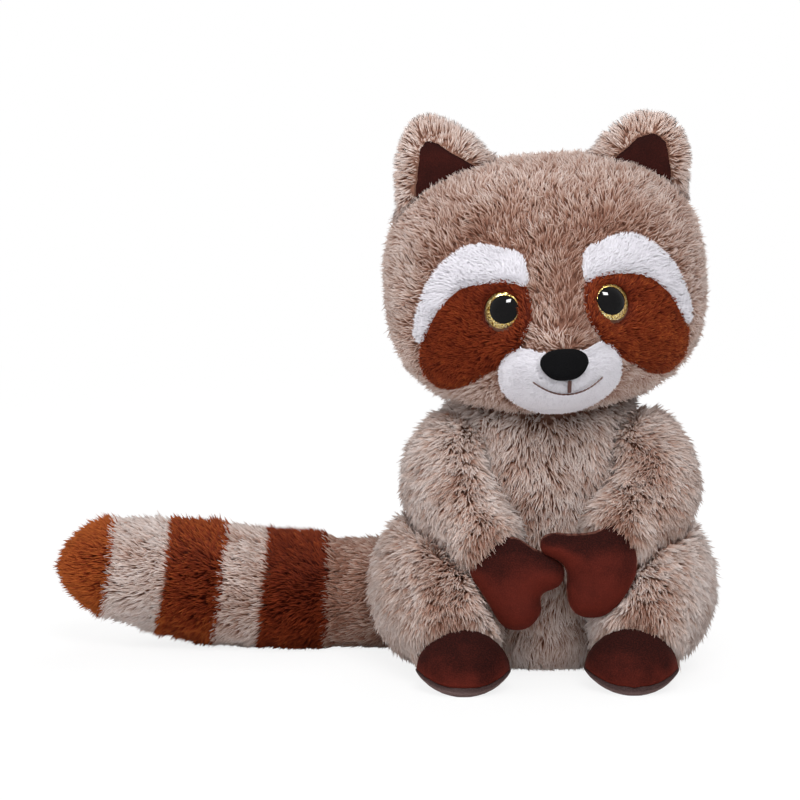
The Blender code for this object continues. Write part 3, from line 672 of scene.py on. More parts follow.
def ear_shape(side, wider, drop):
    """An ear or its lining, whose lower end is sewn on further forward, and which is spread."""
    outward = OUTWARD[side]

    def shape(places):
        middle = (places[:, 0].min() + places[:, 0].max()) / 2
        half = (places[:, 0].max() - places[:, 0].min()) / 2
        low = (1 - (places[:, 2] - EAR_LOW) / EAR_HEIGHT).clip(0, 1)
        inner = ((middle - places[:, 0]) * outward / half).clip(0, 1)
        outer = ((places[:, 0] - middle) * outward / half).clip(0, 1)
        moved = places.copy()
        moved[:, 0] -= outward * wider[0] * inner * (0.35 + 0.65 * low)
        moved[:, 0] += outward * wider[1] * outer * (1.1 - low)
        moved[:, 1] -= EAR_FORWARD * (0.2 + 0.8 * low)
        moved[:, 2] -= drop * (1 - low)
        return moved

    return shape


for side in SIDES:
    RESHAPED["ear_" + side] = ear_shape(side, EAR_WIDER[side], EAR_DROP[side])
    RESHAPED["ear_lining_" + side] = ear_shape(side, LINING_WIDER[side], LINING_DROP)
on_head = ["torso", "nose", "arm_left", "arm_right"]
on_head += [kind + side for kind in ("eye_", "eye_washer_", "ear_") for side in SIDES]
furry(
    "head", "mottled_pile", on_head, from_nose, length=0.0064, width=0.00050, spacing=0.00091, depth=0.0026,
    tuft=0.0026, gather=0.28, swirl=1.3, lean=(34, 62), curl=0.46, tone=0.42,
    seams=[*FACE_PANELS, "ear_lining_left", "ear_lining_right"], shorter=clear_of_eyes,
)


# Face panels
# A rust brown mask round each eye, a white brow above it and the white muzzle: shorter
# piles, sewn into the head edge to edge.

# The right mask's pile is darker than the left's: painted shade, as that side of the face lies in shade
MASK_SHADED_TONES = {"right": 0.29, "left": 0.43}
# Round each eye the mask's pile is painted darker: painted shade where the eye sinks into it
EYE_SHADE = 0.30
EYE_SHADE_REACH = 0.0030

# A panel's pile gets shorter, and its cloth less deep, towards its cut edge
RIM_REACH = 0.0025
RIM_PILE = 0.0016
RIM_SLOPE = 1.2
RIM_SINK = 0.5
RIM_FACING = 0.5
FACE_FACING = 0.35

RUST_STOPS = (
    (0.00, (0.045, 0.006, 0.0025)), (0.35, (0.105, 0.0145, 0.0050)), (0.70, (0.215, 0.034, 0.0100)),
    (1.00, (0.42, 0.100, 0.0230)),
)
WHITE_STOPS = ((0.00, (0.66, 0.64, 0.68)), (0.45, (0.74, 0.72, 0.77)), (1.00, (0.79, 0.77, 0.82)))


def rim_distance(places, rim):
    """How far places are from a panel's cut edge, up to the reach."""
    finder = finder_of(rim)
    return np.array([min(finder.find(Vector(p))[2], RIM_REACH) for p in places])


def face_panel(node, slot, neighbours, sink, length, width, spacing, eye=None, **pile):
    """Replaces a cloth panel: the cloth, sunk towards the head's middle, and its pile."""
    piece = sewn_copy(node, node + "_pile")
    mesh = piece.data
    mesh.materials.append(PILES[slot])
    roots, facing = scatter(mesh, spacing)
    away = (facing * unit(roots - head_middle)).sum(axis=1)
    rim = roots[abs(away) < RIM_FACING]
    shown = (away > FACE_FACING) & ~covered(roots + facing * PILE_RISE, neighbours)
    roots, facing = roots[shown], facing[shown]
    # Painted shade round the eye
    if eye:
        pile["tone"] = pile["tone"] - EYE_SHADE * nearness(roots, eye, EYE_SHADE_REACH)
    room = rim_distance(roots, rim)
    inward = unit(head_middle - roots) * sinking(room, RIM_REACH, RIM_SINK, sink)
    places = places_of(mesh)
    low = sinking(rim_distance(places, rim), RIM_REACH, RIM_SINK, sink)
    move_to(mesh, places + unit(head_middle - places) * low)
    comb = from_nose(roots, facing)
    room = RIM_PILE + room * RIM_SLOPE
    grow_pile(piece, roots + inward, facing, comb, length, width, parting=0.0, room=room, **pile)
    stands_for(piece, node)


pile_finish("rust_pile", RUST_STOPS, tone_reach=0.6, sheen=0.05)
pile_finish("white_pile", WHITE_STOPS, tone_reach=0.25, sheen=0.06)
for side in SIDES:
    face_panel(
        "mask_patch_" + side, "rust_pile", ["eye_" + side, "eye_ring_" + side], sink=0.0018, length=0.0038,
        width=0.00042, spacing=0.00060, eye="eye_" + side, tuft=0.0022, gather=0.15, tone=MASK_SHADED_TONES[side],
        lean=(44, 70), mottle=0.16,
    )
    face_panel(
        "brow_patch_" + side, "white_pile", [], sink=0.0014, length=0.0032, width=0.00042, spacing=0.00055,
        tuft=0.0016, gather=0.1, tone=0.65, lean=(50, 74), mottle=0.04,
    )
face_panel(
    "muzzle", "white_pile", ["nose"], sink=0.0010, length=0.0019, width=0.00036, spacing=0.00048,
    tuft=0.0012, gather=0.0, tone=0.8, lean=(56, 76), mottle=0.03,
)


# Eyes
# Domed plastic eyes, 16 mm across: gold glitter round a black pupil, all under a clear
# polished face. Each has a shank that a washer holds inside the head.

EYE_RADIUS = 0.0079
PUPIL_RADIUS = 0.0061
PLATE_RADIUS = 0.0068
PUPIL_SHIFT = 0.00185
EYE_PLATE = 0.0012
EYE_EDGE = 0.0005
EYE_BULGE = 0.0046
SHANK_RADIUS = 0.0017
SHANK_LENGTH = 0.0120
DOME_TIP = 0.00012
EYE_CLEARANCE = 0.00005
EYE_SIDES = 64
DOME_RINGS = 10
FACE_RINGS = 6
SHARP_EDGE = math.radians(40)
EYE_LIFT = 0.0018
EYE_SINK = 0.0012
FLECK_SIZE = 0.00038
FLECK_TILT = 1.1
# The flecks' colours run from dark to pale gold; the palest are painted glints
GLITTER_AND_GLINT_STOPS = (
    (0.0, (0.10, 0.045, 0.008)), (0.35, (0.50, 0.30, 0.05)), (0.7, (0.97, 0.74, 0.20)),
    (1.0, (1.0, 0.96, 0.62)),
)


def face_lift(amount):
    """A turn of the whole face about the head's middle, which moves its front up."""
    pivot = Vector(head_middle)
    reach = abs(nose_middle[1] - head_middle[1])
    turn = Matrix.Rotation(-amount / reach, 4, "X")
    return Matrix.Translation(pivot) @ turn @ Matrix.Translation(-pivot)


def turned(name, outline):
    """Turns an outline of radius and height pairs round Z, from ring to ring, as on a lathe."""
    radius, height = outline[0]
    bpy.ops.object.select_all(action="DESELECT")
    bpy.ops.mesh.primitive_circle_add(vertices=EYE_SIDES, radius=radius, location=(0, 0, height))
    piece = bpy.context.object
    piece.name = piece.data.name = name
    bpy.ops.object.transform_apply(location=True)
    bpy.ops.object.mode_set(mode="EDIT")
    bpy.ops.mesh.select_all(action="SELECT")
    for (radius, height), (wider, higher) in zip(outline, outline[1:]):
        bpy.ops.mesh.extrude_edges_move(TRANSFORM_OT_translate={"value": (0, 0, higher - height)})
        bpy.ops.transform.resize(value=(wider / radius, wider / radius, 1))
    bpy.ops.mesh.select_all(action="SELECT")
    bpy.ops.mesh.remove_doubles(threshold=0.000002)
    bpy.ops.mesh.select_all(action="DESELECT")
    bpy.ops.mesh.select_non_manifold()
    bpy.ops.mesh.fill_holes(sides=0)
    bpy.ops.mesh.select_all(action="SELECT")
    bpy.ops.mesh.normals_make_consistent(inside=False)
    bpy.ops.object.mode_set(mode="OBJECT")
    bpy.ops.object.shade_smooth_by_angle(angle=SHARP_EDGE)
    return piece


def eye_height(radius):
    """How high the eye's face stands at a distance from its middle."""
    return EYE_PLATE + EYE_EDGE + (EYE_BULGE - EYE_EDGE) * (1 - (radius / EYE_RADIUS) ** 2)


def eye_seat(side):
    """Where an eye sits: its plate's middle, with Z along the way it looks and X away from the nose."""
    ring = places_of(nodes["eye_ring_" + side].data)
    middle = ring.mean(axis=0)
    way = Vector(np.linalg.svd(ring - middle)[2][2])
    if way.y > 0:
        way.negate()
    whole = places_of(nodes["eye_" + side].data)
    front = (whole @ np.array(way)).max()
    base = front - eye_height(0) - EYE_SINK - middle @ np.array(way)
    out = Vector((OUTWARD[side], 0, 0))
    out = (out - way * out.dot(way)).normalized()
    axes = Matrix((out, way.cross(out), way)).transposed().to_4x4()
    return face_lift(EYE_LIFT) @ Matrix.Translation(Vector(middle) + way * base) @ axes


def set_in(piece, seat):
    """Moves the pupil's edge towards the nose, along the eye's face, and seats the piece."""
    places = places_of(piece.data)
    radii = np.linalg.norm(places[:, :2], axis=1)
    on_face = places[:, 2] > EYE_PLATE + EYE_CLEARANCE * 1.5
    hold = 1 - ((radii - PUPIL_RADIUS) / (EYE_RADIUS - PUPIL_RADIUS)).clip(0, 1)
    places[:, 0] -= PUPIL_SHIFT * hold * (places[:, 2] > EYE_PLATE - EYE_CLEARANCE)
    radii = np.linalg.norm(places[:, :2], axis=1)
    places[on_face, 2] = eye_height(radii[on_face])
    move_to(piece.data, places)
    piece.data.transform(seat)
    piece.data.update()


black_plastic, shader, place = new_finish("black_plastic", 0.04, Specular_IOR_Level=0.10)
put(shader, "Base Color", place.noise(900.0).blend((0.002, 0.002, 0.0025, 1), (0.005, 0.0045, 0.0045, 1)))

glitter, shader, place = new_finish("gold_glitter", 0.35, Metallic=0.85, Coat_Weight=0.7, Coat_Roughness=0.04)
# Each fleck takes its own colour and roughness; its colour is partly painted glint, over the sparkle of its
# tilted face
fleck = place.node("ShaderNodeTexVoronoi", inputs={"Vector": place, "Scale": 1 / FLECK_SIZE}, output=1)
fleck_glint = fleck.node("ShaderNodeSeparateColor", inputs={0: fleck}, output=0)
put(shader, "Base Color", fleck_glint.node("ShaderNodeValToRGB", {"stops": GLITTER_AND_GLINT_STOPS}, {0: fleck_glint}))
put(shader, "Roughness", fleck_glint * 0.3 + 0.15)
facing = place.node("ShaderNodeNewGeometry", output=1)
tilt = fleck.node("ShaderNodeVectorMath", {"operation": "SUBTRACT"}, {0: fleck, 1: (0.5, 0.5, 0.5)})
tilt = tilt.node("ShaderNodeVectorMath", {"operation": "SCALE"}, {0: tilt, "Scale": FLECK_TILT})
tilted = tilt.node("ShaderNodeVectorMath", {"operation": "ADD"}, {0: tilt, 1: facing})
put(shader, "Normal", tilted.node("ShaderNodeVectorMath", {"operation": "NORMALIZE"}, {0: tilted}))

washer_white, shader, place = new_finish("washer_plastic", 0.45)
put(shader, "Base Color", place.noise(1200.0).blend((0.74, 0.74, 0.72, 1), (0.82, 0.82, 0.80, 1)))

for side in SIDES:
    seat = eye_seat(side)
    radii = [PUPIL_RADIUS * k / DOME_RINGS for k in range(DOME_RINGS, 0, -1)]
    pupil = turned("pupil_" + side, [
        (SHANK_RADIUS, -SHANK_LENGTH), (SHANK_RADIUS, 0), (PLATE_RADIUS, 0), (PLATE_RADIUS, EYE_PLATE),
        (PUPIL_RADIUS, EYE_PLATE), *((radius, eye_height(radius)) for radius in radii),
        (DOME_TIP, eye_height(0)),
    ])
    pupil.data.materials.append(black_plastic)
    set_in(pupil, seat)
    stands_for(pupil, "eye_" + side)
    inner = PUPIL_RADIUS + EYE_CLEARANCE
    base = EYE_PLATE + EYE_CLEARANCE
    radii = [inner + (EYE_RADIUS - inner) * k / FACE_RINGS for k in range(FACE_RINGS + 1)]
    ring = turned("glitter_ring_" + side, [
        (inner, base), *((radius, eye_height(radius)) for radius in radii), (EYE_RADIUS, base), (inner, base),
    ])
    ring.data.materials.append(glitter)
    set_in(ring, seat)
    stands_for(ring, "eye_ring_" + side)
    washer = sewn_copy("eye_washer_" + side, "washer_" + side)
    bpy.ops.object.shade_smooth_by_angle(angle=SHARP_EDGE)
    washer.data.transform(face_lift(EYE_LIFT))
    washer.data.materials.append(washer_white)
    stands_for(washer, "eye_washer_" + side)


# Nose
# A moulded form covered in black flock: broad, flat on top and narrower below, and
# fixed to the end of the snout.

NOSE_ROLL = math.radians(-4.0)
NOSE_LIFT = 0.0022
NOSE_TALLER = 1.14
NOSE_SQUARENESS = 2.5
NOSE_FLATTER_TOP = 0.88
NOSE_NARROWER_BELOW = 0.22


def velour_finish(name, shaded_nap, lit_nap, nap, sheen, seam=None):
    """Short-nap cloth: painted shade where it faces up, over a fine upright nap, and paler along a seam."""
    material, shader, place = new_finish(
        name, 0.9, Sheen_Weight=sheen, Sheen_Roughness=0.4, Specular_IOR_Level=0.04,
        Sheen_Tint=(*(c ** 0.5 for c in lit_nap), 1),
    )
    up = place.node("ShaderNodeNewGeometry", output=1).part(2)
    brushed = place.noise(85.0, 3.0)
    fine = place.noise(1 / nap)
    # Painted shade: the cloth takes its darker colour where it faces up, broken by brushed patches of nap
    share = (0.58 - up * 0.80 + (brushed - 0.5) * 1.1).step(0.0, 1.0)
    share = share * 0.75 + fine.step(0.35, 0.7) * 0.25
    colour = share.blend((*shaded_nap, 1), (*lit_nap, 1))
    # Along a seam the cloth is coloured paler
    if seam:
        far = place.node("ShaderNodeUVMap", {"uv_map": "seam"}).part(0)
        paler_edge = 1 - (far + (place.noise(300.0) - 0.5) * 0.16).step(0.01, 0.06)
        colour = (paler_edge * 0.5).blend(colour, (*seam, 1))
    put(shader, "Base Color", colour)
    bump = {"Height": fine, "Distance": nap * 0.6, "Strength": 0.7}
    put(shader, "Normal", place.node("ShaderNodeBump", inputs=bump))
    return material


flock = velour_finish(
    "nose_flock", shaded_nap=(0.0022, 0.0022, 0.0026), lit_nap=(0.0050, 0.0050, 0.0056), nap=0.00045, sheen=0.03,
)
low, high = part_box("nose")
bpy.ops.mesh.primitive_uv_sphere_add(segments=48, ring_count=32, radius=1.0)
nose = bpy.context.object
nose.name = nose.data.name = "flocked_nose"
ball = places_of(nose.data)
ball *= ((abs(ball) ** NOSE_SQUARENESS).sum(axis=1) ** (-1 / NOSE_SQUARENESS))[:, None]
ball[:, 0] *= 1 - NOSE_NARROWER_BELOW * (-ball[:, 2]).clip(0, 1)
ball[:, 2] *= np.where(ball[:, 2] > 0, NOSE_FLATTER_TOP, 1.0)
move_to(nose.data, ball * np.array((high - low) / 2) * np.array((1.0, 1.0, NOSE_TALLER)))
seat = face_lift(NOSE_LIFT) @ Matrix.Translation((low + high) / 2)
nose.data.transform(seat @ Matrix.Rotation(NOSE_ROLL, 4, "Y"))
nose.data.materials.append(flock)
select_only(nose)
bpy.ops.object.shade_smooth()
stands_for(nose, "nose")


# Mouth
# A smile in running stitch, and a line up to the nose in satin stitch, both sewn through
# the muzzle in dark brown thread.

STITCH_LENGTH = 0.0019
STITCH_OVERLAP = 0.66
SATIN_WAY = Vector((1.0, 0.0, 0.07)).normalized()
THREAD_RADIUS = 0.00040
SATIN_STEP = 0.00062
SATIN_HALF = 0.00092
MOUTH_LIFT = 0.0041
SMILE_ASIDE = 0.0003
LINE_ASIDE = 0.0002
LINE_LONGER = 0.0008
MOUTH_FLATTER = 0.12
THREAD_PROUD = 0.0013

thread, shader, place = new_finish("mouth_thread", 0.6, Sheen_Weight=0.2)
strands = place.noise(2600.0)
put(shader, "Base Color", strands.blend((0.038, 0.009, 0.006, 1), (0.120, 0.034, 0.020, 1)))
put(shader, "Normal", place.node("ShaderNodeBump", inputs={"Height": strands, "Distance": 0.0002}))


def thread_line(node, axis, bends, count, aside):
    """The smooth middle line of a thread's solid along one axis, moved up and onto the muzzle."""
    places = places_of(nodes[node].data)
    spread = places[:, axis]
    curves = [np.polyfit(spread, places[:, k], bends) for k in range(3)]
    line = []
    cloth = surface("muzzle")
    in_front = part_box("nose")[0].y
    for at in np.linspace(spread.min(), spread.max(), count):
        place = Vector([np.polyval(curve, at) for curve in curves])
        place[axis] = at
        place.z += (places[:, 2].max() - place.z) * MOUTH_FLATTER
        place = face_lift(MOUTH_LIFT) @ place
        met = cloth.ray_cast(Vector((place.x + aside, in_front, place.z)), Vector((0, 1, 0)))[0]
        if met is not None:
            line.append(met - Vector((0, THREAD_PROUD, 0)))
    return line


def stitched(name, node, stitches):
    """One piece of thread from stitches, each given by its middle, its way and half its length."""
    bpy.ops.object.select_all(action="DESELECT")
    made = []
    for middle, way, half in stitches:
        bpy.ops.mesh.primitive_uv_sphere_add(segments=12, ring_count=8, radius=1.0)
        turn = way.to_track_quat("Z", "Y").to_matrix().to_4x4()
        turn = turn @ Matrix.Diagonal((THREAD_RADIUS, THREAD_RADIUS, half, 1))
        bpy.context.object.data.transform(Matrix.Translation(middle) @ turn)
        made.append(bpy.context.object)
    for stitch in made:
        stitch.select_set(True)
    bpy.ops.object.join()
    bpy.ops.object.shade_smooth()
    sewn = bpy.context.object
    sewn.name = sewn.data.name = name
    sewn.data.materials.append(thread)
    stands_for(sewn, node)


def along(line, step):
    """Places and ways along a line, one step apart."""
    reach = [0.0]
    for a, b in zip(line, line[1:]):
        reach.append(reach[-1] + (b - a).length)
    count = max(2, round(reach[-1] / step))
    for k in range(count):
        at = reach[-1] * (k + 0.5) / count
        span = max(i for i in range(len(line) - 1) if reach[i] <= at)
        a, b = line[span], line[span + 1]
        yield a.lerp(b, (at - reach[span]) / (b - a).length), (b - a).normalized()


smile = thread_line("mouth_smile", axis=0, bends=3, count=15, aside=SMILE_ASIDE)
running = [(at, way, STITCH_LENGTH * STITCH_OVERLAP) for at, way in along(smile, STITCH_LENGTH)]
stitched("smile_stitches", "mouth_smile", running)
upright = thread_line("mouth_line", axis=2, bends=0, count=9, aside=LINE_ASIDE)
upright[0] -= (upright[1] - upright[0]).normalized() * LINE_LONGER
satin = [(at, SATIN_WAY, SATIN_HALF) for at, _ in along(upright, SATIN_STEP)]
stitched("line_stitches", "mouth_line", satin)


# Ears
# Two ears of the mottled pile, shaggy on their inner slopes and clipped outside. Each has
# a smooth dark lining, sewn in inside its rim.

EAR_LENGTH = 0.0072
EAR_CLIPPED = 0.0048
EAR_DEPTH = 0.0020
# The velour's colours where it is lit and where it takes painted shade, also mixed by its fine nap
VELOUR_SHADED_NAP = (0.0130, 0.0026, 0.0020)
VELOUR_LIT_NAP = (0.100, 0.0148, 0.0092)
VELOUR_NAP = 0.00055


def ear_comb(side):
    """Pile that is brushed out from the middle of an ear's lining."""
    middle = middle_of("ear_lining_" + side)
    return lambda roots, facing: unit(roots - middle) + np.array((0.0, 0.1, 0.05))


def ear_trim(side):
    """An ear's pile is long on its inner slope, and clipped on its outer side."""
    low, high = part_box("ear_" + side)

    def trim(roots, facing):
        inner = (0.5 - OUTWARD[side] * (roots[:, 0] - (low.x + high.x) / 2) / (high.x - low.x)).clip(0, 1)
        return EAR_CLIPPED + (EAR_LENGTH - EAR_CLIPPED) * inner

    return trim


def applied(piece, kind, **settings):
    """Gives a piece a modifier with these settings, and applies it."""
    select_only(piece)
    modifier = piece.modifiers.new(kind.lower(), kind)
    for key, value in settings.items():
        setattr(modifier, key, value)
    bpy.ops.object.modifier_apply(modifier=modifier.name)


def evened(node, name, voxel, rounds):
    """A copy of a solid as cloth of even squares, its facets smoothed away."""
    piece = sewn_copy(node, name)
    applied(piece, "REMESH", mode="VOXEL", voxel_size=voxel)
    applied(piece, "SMOOTH", iterations=rounds)
    bpy.ops.object.shade_smooth()
    return piece


velour = velour_finish("velour", VELOUR_SHADED_NAP, VELOUR_LIT_NAP, VELOUR_NAP, sheen=0.05)
lining_velour = velour_finish(
    "lining_velour", shaded_nap=(0.013, 0.0030, 0.0024), lit_nap=(0.050, 0.0085, 0.0060), nap=VELOUR_NAP, sheen=0.04,
)
for side in SIDES:
    furry(
        "ear_" + side, "mottled_pile", ["head"], ear_comb(side), EAR_LENGTH, width=0.00050, spacing=0.00074,
        depth=EAR_DEPTH, lean=(28, 50), tone=0.62, parting=0.4, gather=0.35, seams=["ear_lining_" + side],
        shorter=ear_trim(side),
    )
    lining = evened("ear_lining_" + side, "lining_" + side, voxel=0.0008, rounds=6)
    lining.data.materials.append(lining_velour)
    stands_for(lining, "ear_lining_" + side)


# Arms
# Two stuffed arms of the mottled pile, sewn to the body at the shoulders. They bend round
# the belly, and their pile is brushed down to the paws.

ARM_DEPTH = 0.0048
ARM_SPACING = 0.00077
ARM_TONES = {"right": 0.51, "left": 0.42}
BRUSHED_OUT = 0.9


def towards(start, end):
    """Pile that is brushed from one piece to another, mostly down, and out over its upper end."""
    low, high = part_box(start)
    way = (sum(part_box(end), Vector()) - low - high).normalized()
    way = np.array((way.x, way.y * 0.25, way.z - 0.45))
    out = np.array((math.copysign(BRUSHED_OUT, low.x + high.x), 0.0, 0.0))

    def comb(roots, facing):
        share = ((roots[:, 2] - low.z) / (high.z - low.z)).clip(0, 1)[:, None]
        return way + out * share ** 2

    return comb


for side in SIDES:
    furry(
        "arm_" + side, "mottled_pile", ["head", "torso", "leg_" + side, "paw_" + side],
        towards("arm_" + side, "paw_" + side), BODY_LENGTH, BODY_WIDTH, ARM_SPACING, depth=ARM_DEPTH,
        sleeve_of="paw_" + side, gather=0.28, tone=ARM_TONES[side], mottle=0.18,
    )


# Paws
# Mittens of dark velour: two cut cloths, sewn together round the outline and stuffed. The
# wrist end goes back into the sleeve.

# The X and Z of points round each paw, seen from the front
PAW_OUTLINES = {
    "right": (
        (-0.0109, 0.0627), (-0.0067, 0.0599), (-0.0011, 0.0577), (0.0040, 0.0554), (0.0069, 0.0519),
        (0.0074, 0.0482), (0.0062, 0.0444), (0.0027, 0.0419), (-0.0009, 0.0407), (-0.0027, 0.0387),
        (-0.0024, 0.0336), (-0.0040, 0.0293), (-0.0070, 0.0258), (-0.0112, 0.0241), (-0.0158, 0.0243),
        (-0.0197, 0.0265), (-0.0228, 0.0312), (-0.0261, 0.0369), (-0.0293, 0.0416), (-0.0321, 0.0458),
        (-0.0334, 0.0500), (-0.0308, 0.0547), (-0.0262, 0.0590), (-0.0206, 0.0627), (-0.0155, 0.0641),
    ),
    "left": (
        (-0.0034, 0.0614), (-0.0020, 0.0647), (0.0020, 0.0662), (0.0100, 0.0658), (0.0183, 0.0661),
        (0.0229, 0.0674), (0.0266, 0.0697), (0.0312, 0.0683), (0.0354, 0.0646), (0.0378, 0.0590),
        (0.0387, 0.0533), (0.0379, 0.0477), (0.0356, 0.0430), (0.0331, 0.0387), (0.0296, 0.0343),
        (0.0259, 0.0312), (0.0218, 0.0297), (0.0171, 0.0295), (0.0127, 0.0309), (0.0099, 0.0340),
        (0.0084, 0.0383), (0.0080, 0.0430), (0.0084, 0.0477), (0.0072, 0.0514), (0.0044, 0.0540),
        (0.0006, 0.0557), (-0.0024, 0.0579),
    ),
}

# The way from a paw's middle to its sleeve, along X and Z
SLEEVE_WAYS = {"right": (-0.75, 0.66), "left": (0.62, 0.78)}
PAW_FORWARD = 0.0680
PAW_BACK_IN_SLEEVE = 0.0065
PAW_THICKNESS = 0.0180
PAW_ROUNDNESS = 0.0125
PAW_EDGE = 0.0008
PAW_VOXEL = 0.0013
CLOTH_HALF = 0.004
PAW_SEAM_HELD = 0.0009
# The paler colour along a paw's seam
PALE_SEAM = (0.26, 0.11, 0.08)
STUFFING_PRESSURE = 4.0
STUFFING_STEPS = 20
MOST_STUFFED = 0.0012
SEAM_UNIT = 0.010


def cut_cloth(name, outline, half):
    """A flat form, cut along an outline in the XZ plane and twice half thick."""
    bpy.ops.object.select_all(action="DESELECT")
    bpy.ops.curve.primitive_bezier_circle_add()
    piece = bpy.context.object
    piece.name = name
    piece.data.dimensions = "2D"
    piece.data.fill_mode = "BOTH"
    piece.data.extrude = half
    spline = piece.data.splines[0]
    spline.resolution_u = 10
    spline.bezier_points.add(len(outline) - len(spline.bezier_points))
    for point, (x, z) in zip(spline.bezier_points, outline):
        point.co = (x, z, 0)
        point.handle_left_type = point.handle_right_type = "AUTO"
    bpy.ops.object.convert(target="MESH")
    piece.data.transform(Matrix.Rotation(math.pi / 2, 4, "X"))
    return piece


def edge_distance(places, edge):
    """How far places lie from an edge, both seen along Y."""
    finder = finder_of([(x, 0, z) for x, _, z in edge])
    return np.array([finder.find((x, 0, z))[2] for x, _, z in places])


def stuffed(piece, held):
    """Blows a sewn form up from inside as cloth, and lets no point move too far."""
    rest = places_of(piece.data)
    cloth = piece.modifiers.new("stuffing", "CLOTH")
    cloth.settings.use_pressure = True
    cloth.settings.uniform_pressure_force = STUFFING_PRESSURE
    cloth.settings.effector_weights.gravity = 0
    group = piece.vertex_groups.new(name="seam")
    group.add([int(i) for i in np.flatnonzero(held)], 1.0, "REPLACE")
    cloth.settings.vertex_group_mass = group.name
    for step in range(1, STUFFING_STEPS + 1):
        scene.frame_set(step)
    select_only(piece)
    bpy.ops.object.modifier_apply(modifier=cloth.name)
    scene.frame_set(1)
    moved = places_of(piece.data) - rest
    far = np.linalg.norm(moved, axis=1, keepdims=True)
    move_to(piece.data, rest + moved * np.minimum(1, MOST_STUFFED / np.maximum(far, 1e-9)))


def finer(piece):
    """Halves a piece's squares, and smooths its shading."""
    applied(piece, "SUBSURF", levels=1)
    bpy.ops.object.shade_smooth()


paw_velour = velour_finish("paw_velour", VELOUR_SHADED_NAP, VELOUR_LIT_NAP, VELOUR_NAP, sheen=0.05, seam=PALE_SEAM)
for side in SIDES:
    paw = cut_cloth("mitten_" + side, PAW_OUTLINES[side], CLOTH_HALF)
    edge = places_of(paw.data)
    applied(paw, "REMESH", mode="VOXEL", voxel_size=PAW_VOXEL)
    places = places_of(paw.data)
    far = edge_distance(places, edge)
    full = PAW_THICKNESS / 2 * np.sqrt(1 - (1 - (far / PAW_ROUNDNESS).clip(0, 1)) ** 2)
    places[:, 1] = (places[:, 1] / CLOTH_HALF).clip(-1, 1) * np.maximum(full, PAW_EDGE)
    sleeve = (places[:, ::2] - places[:, ::2].mean(axis=0)) @ np.array(SLEEVE_WAYS[side])
    back = (sleeve / sleeve.max()).clip(0, 1) ** 1.5 * PAW_BACK_IN_SLEEVE
    places[:, 1] += back - PAW_FORWARD
    move_to(paw.data, places)
    applied(paw, "SMOOTH", iterations=6)
    stuffed(paw, far < PAW_SEAM_HELD)
    finer(paw)
    far = edge_distance(places_of(paw.data), edge)
    corners = read(paw.data.loops, "vertex_index", np.int32, width=1)[:, 0]
    marks = np.stack([far[corners] / SEAM_UNIT, np.zeros(len(corners))], axis=1)
    paw.data.uv_layers.new(name="seam").uv.foreach_set("vector", marks.astype(np.float32).ravel())
    paw.data.materials.append(paw_velour)
    stands_for(paw, "paw_" + side)


# Legs
# Two stuffed oval legs of the mottled pile, sewn to the body at the hips. They lie on the
# floor, and their pile is brushed down over the feet.

LEG_SPACING = 0.00079
LEG_TONES = {"right": 0.40, "left": 0.57}

for side in SIDES:
    beside = ["torso", "arm_" + side, "foot_" + side, "sole_" + side, "tail_band_1"]
    furry(
        "leg_" + side, "mottled_pile", beside, towards("leg_" + side, "foot_" + side), BODY_LENGTH, BODY_WIDTH,
        LEG_SPACING, sleeve_of="foot_" + side, tone=LEG_TONES[side], gather=0.28, mottle=0.20,
    )


# Feet
# A dark velour upper, sewn to a grey-brown sole. Stuffing pulls the sole's sides up, so
# that its rim shows from the front as a crescent.

FOOT_HALF = 0.0213
SOLE_THICKNESS = 0.0060
SOLE_LOW_RISE = 0.0080
SOLE_TOP_RISE = 0.0048
SOLE_TUCK = 0.0024
FOOT_TOP = 0.0260
UPPER_DROP = 0.0028
UPPER_SEAM_HELD = 0.0012


def above_sole(places):
    """How high places lie on the upper: 0 at the sole, and 1 at its top."""
    return ((places[:, 2] - SOLE_THICKNESS) / (FOOT_TOP - SOLE_THICKNESS)).clip(0, 1)


def rocked(places, middle):
    """Bends a foot's sides up, its sole's underside more than its top."""
    aside = (abs(places[:, 0] - middle) / FOOT_HALF).clip(0, 1) ** 2.2
    height = (places[:, 2] / SOLE_THICKNESS).clip(0, 1)
    rise = (SOLE_LOW_RISE + (SOLE_TOP_RISE - SOLE_LOW_RISE) * height) * (1 - above_sole(places))
    bent = places.copy()
    bent[:, 2] += aside * rise
    return bent


def sewn_down(places):
    """Draws an upper's edge down over the sole's."""
    drawn = places.copy()
    drawn[:, 2] -= UPPER_DROP * (1 - above_sole(places))
    return drawn


def tucked(places):
    """Draws a sole's upper edge in, under the upper's."""
    middle = (places[:, :2].min(axis=0) + places[:, :2].max(axis=0)) / 2
    high = ((places[:, 2] / SOLE_THICKNESS - 0.35) / 0.3).clip(0, 1)[:, None]
    drawn = places.copy()
    drawn[:, :2] -= unit(places[:, :2] - middle) * SOLE_TUCK * high
    return drawn


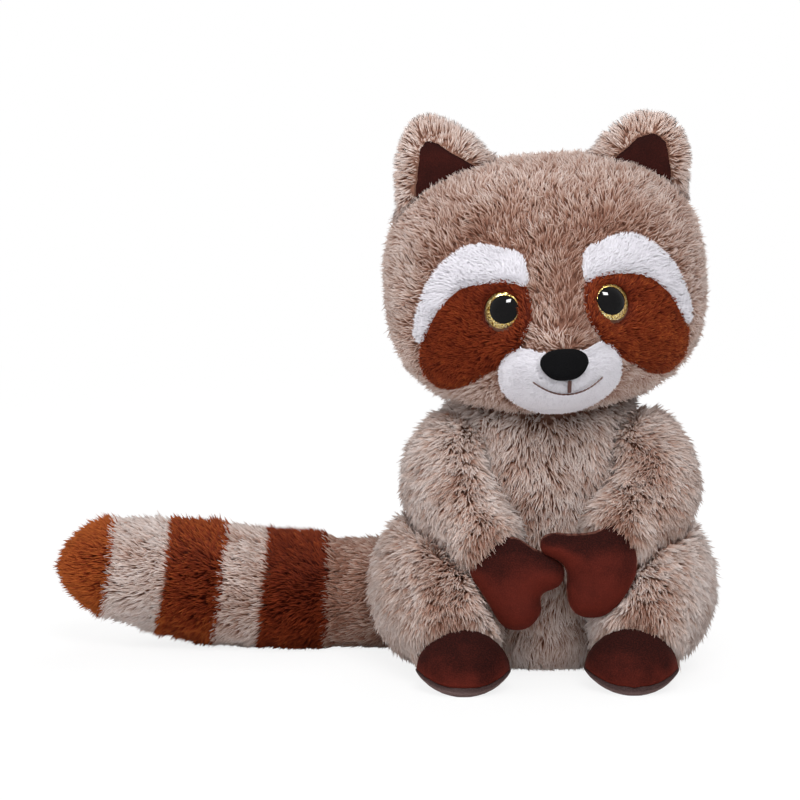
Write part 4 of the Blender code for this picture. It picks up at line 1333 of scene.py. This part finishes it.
sole_velour = velour_finish(
    "sole_velour", shaded_nap=(0.036, 0.020, 0.019), lit_nap=(0.135, 0.088, 0.083), nap=0.00050, sheen=0.08,
)
for side in SIDES:
    middle = middle_of("sole_" + side)[0]
    foot = evened("foot_" + side, "upper_" + side, voxel=0.0016, rounds=5)
    heights = places_of(foot.data)[:, 2]
    stuffed(foot, heights < heights.min() + UPPER_SEAM_HELD)
    finer(foot)
    move_to(foot.data, sewn_down(places_of(foot.data)))
    sole = evened("sole_" + side, "under_" + side, voxel=0.0010, rounds=3)
    move_to(sole.data, tucked(places_of(sole.data)))
    for piece, finish in ((foot, velour), (sole, sole_velour)):
        move_to(piece.data, rocked(places_of(piece.data), middle))
        piece.data.materials.append(finish)
    stands_for(foot, "foot_" + side)
    stands_for(sole, "sole_" + side)


# Tail
# Six stuffed bands of pile, in turn mottled and rust brown, sewn end to end. The first is
# sewn to the body, and the pile is brushed to the tip.

TAIL_BANDS = [f"tail_band_{k}" for k in range(1, 6)] + ["tail_tip"]
TAIL_WAY = np.array((-1.0, 0.0, 0.0))
# Each kind of band is darker the nearer it lies to the body: painted shadow, where the body shades the tail
TAIL_SHADOWED_TONES = (0.08, 0.19, 0.56, 0.50, 0.70, 0.84)
TAIL_LENGTH = 0.0068
TAIL_DEPTH = 0.0028
TIP_TAPER = 0.24


def to_tip(roots, facing):
    """Pile that is brushed along the tail to its tip."""
    return np.tile(TAIL_WAY, (len(roots), 1))


def tapered(places):
    """The tail's tip, drawn in towards its end."""
    low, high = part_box("tail_tip")
    share = ((high.x - places[:, 0]) / (high.x - low.x)).clip(0, 1) ** 1.5
    middle = (low + high) / 2
    moved = places.copy()
    moved[:, 1:] -= (places[:, 1:] - (middle.y, middle.z)) * TIP_TAPER * share[:, None]
    return moved


RESHAPED["tail_tip"] = tapered
for number, (node, tone) in enumerate(zip(TAIL_BANDS, TAIL_SHADOWED_TONES)):
    beside = TAIL_BANDS[max(0, number - 1):number] + TAIL_BANDS[number + 1:number + 2]
    if number == 0:
        beside += ["torso", "leg_right"]
    brown = number % 2 == 1
    furry(
        node, "rust_pile" if brown else "mottled_pile", beside, to_tip, TAIL_LENGTH, width=0.00050,
        spacing=0.00078, depth=TAIL_DEPTH, axis=TAIL_WAY, lean=(22, 44) if brown else (32, 60), tone=tone,
        parting=0.3, gather=0.14, curl=0.26,
    )

# The box of the solids and the box of the finished pieces
size = {"cad": [list(c) for c in cad_box], "visual": [list(c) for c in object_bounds()]}
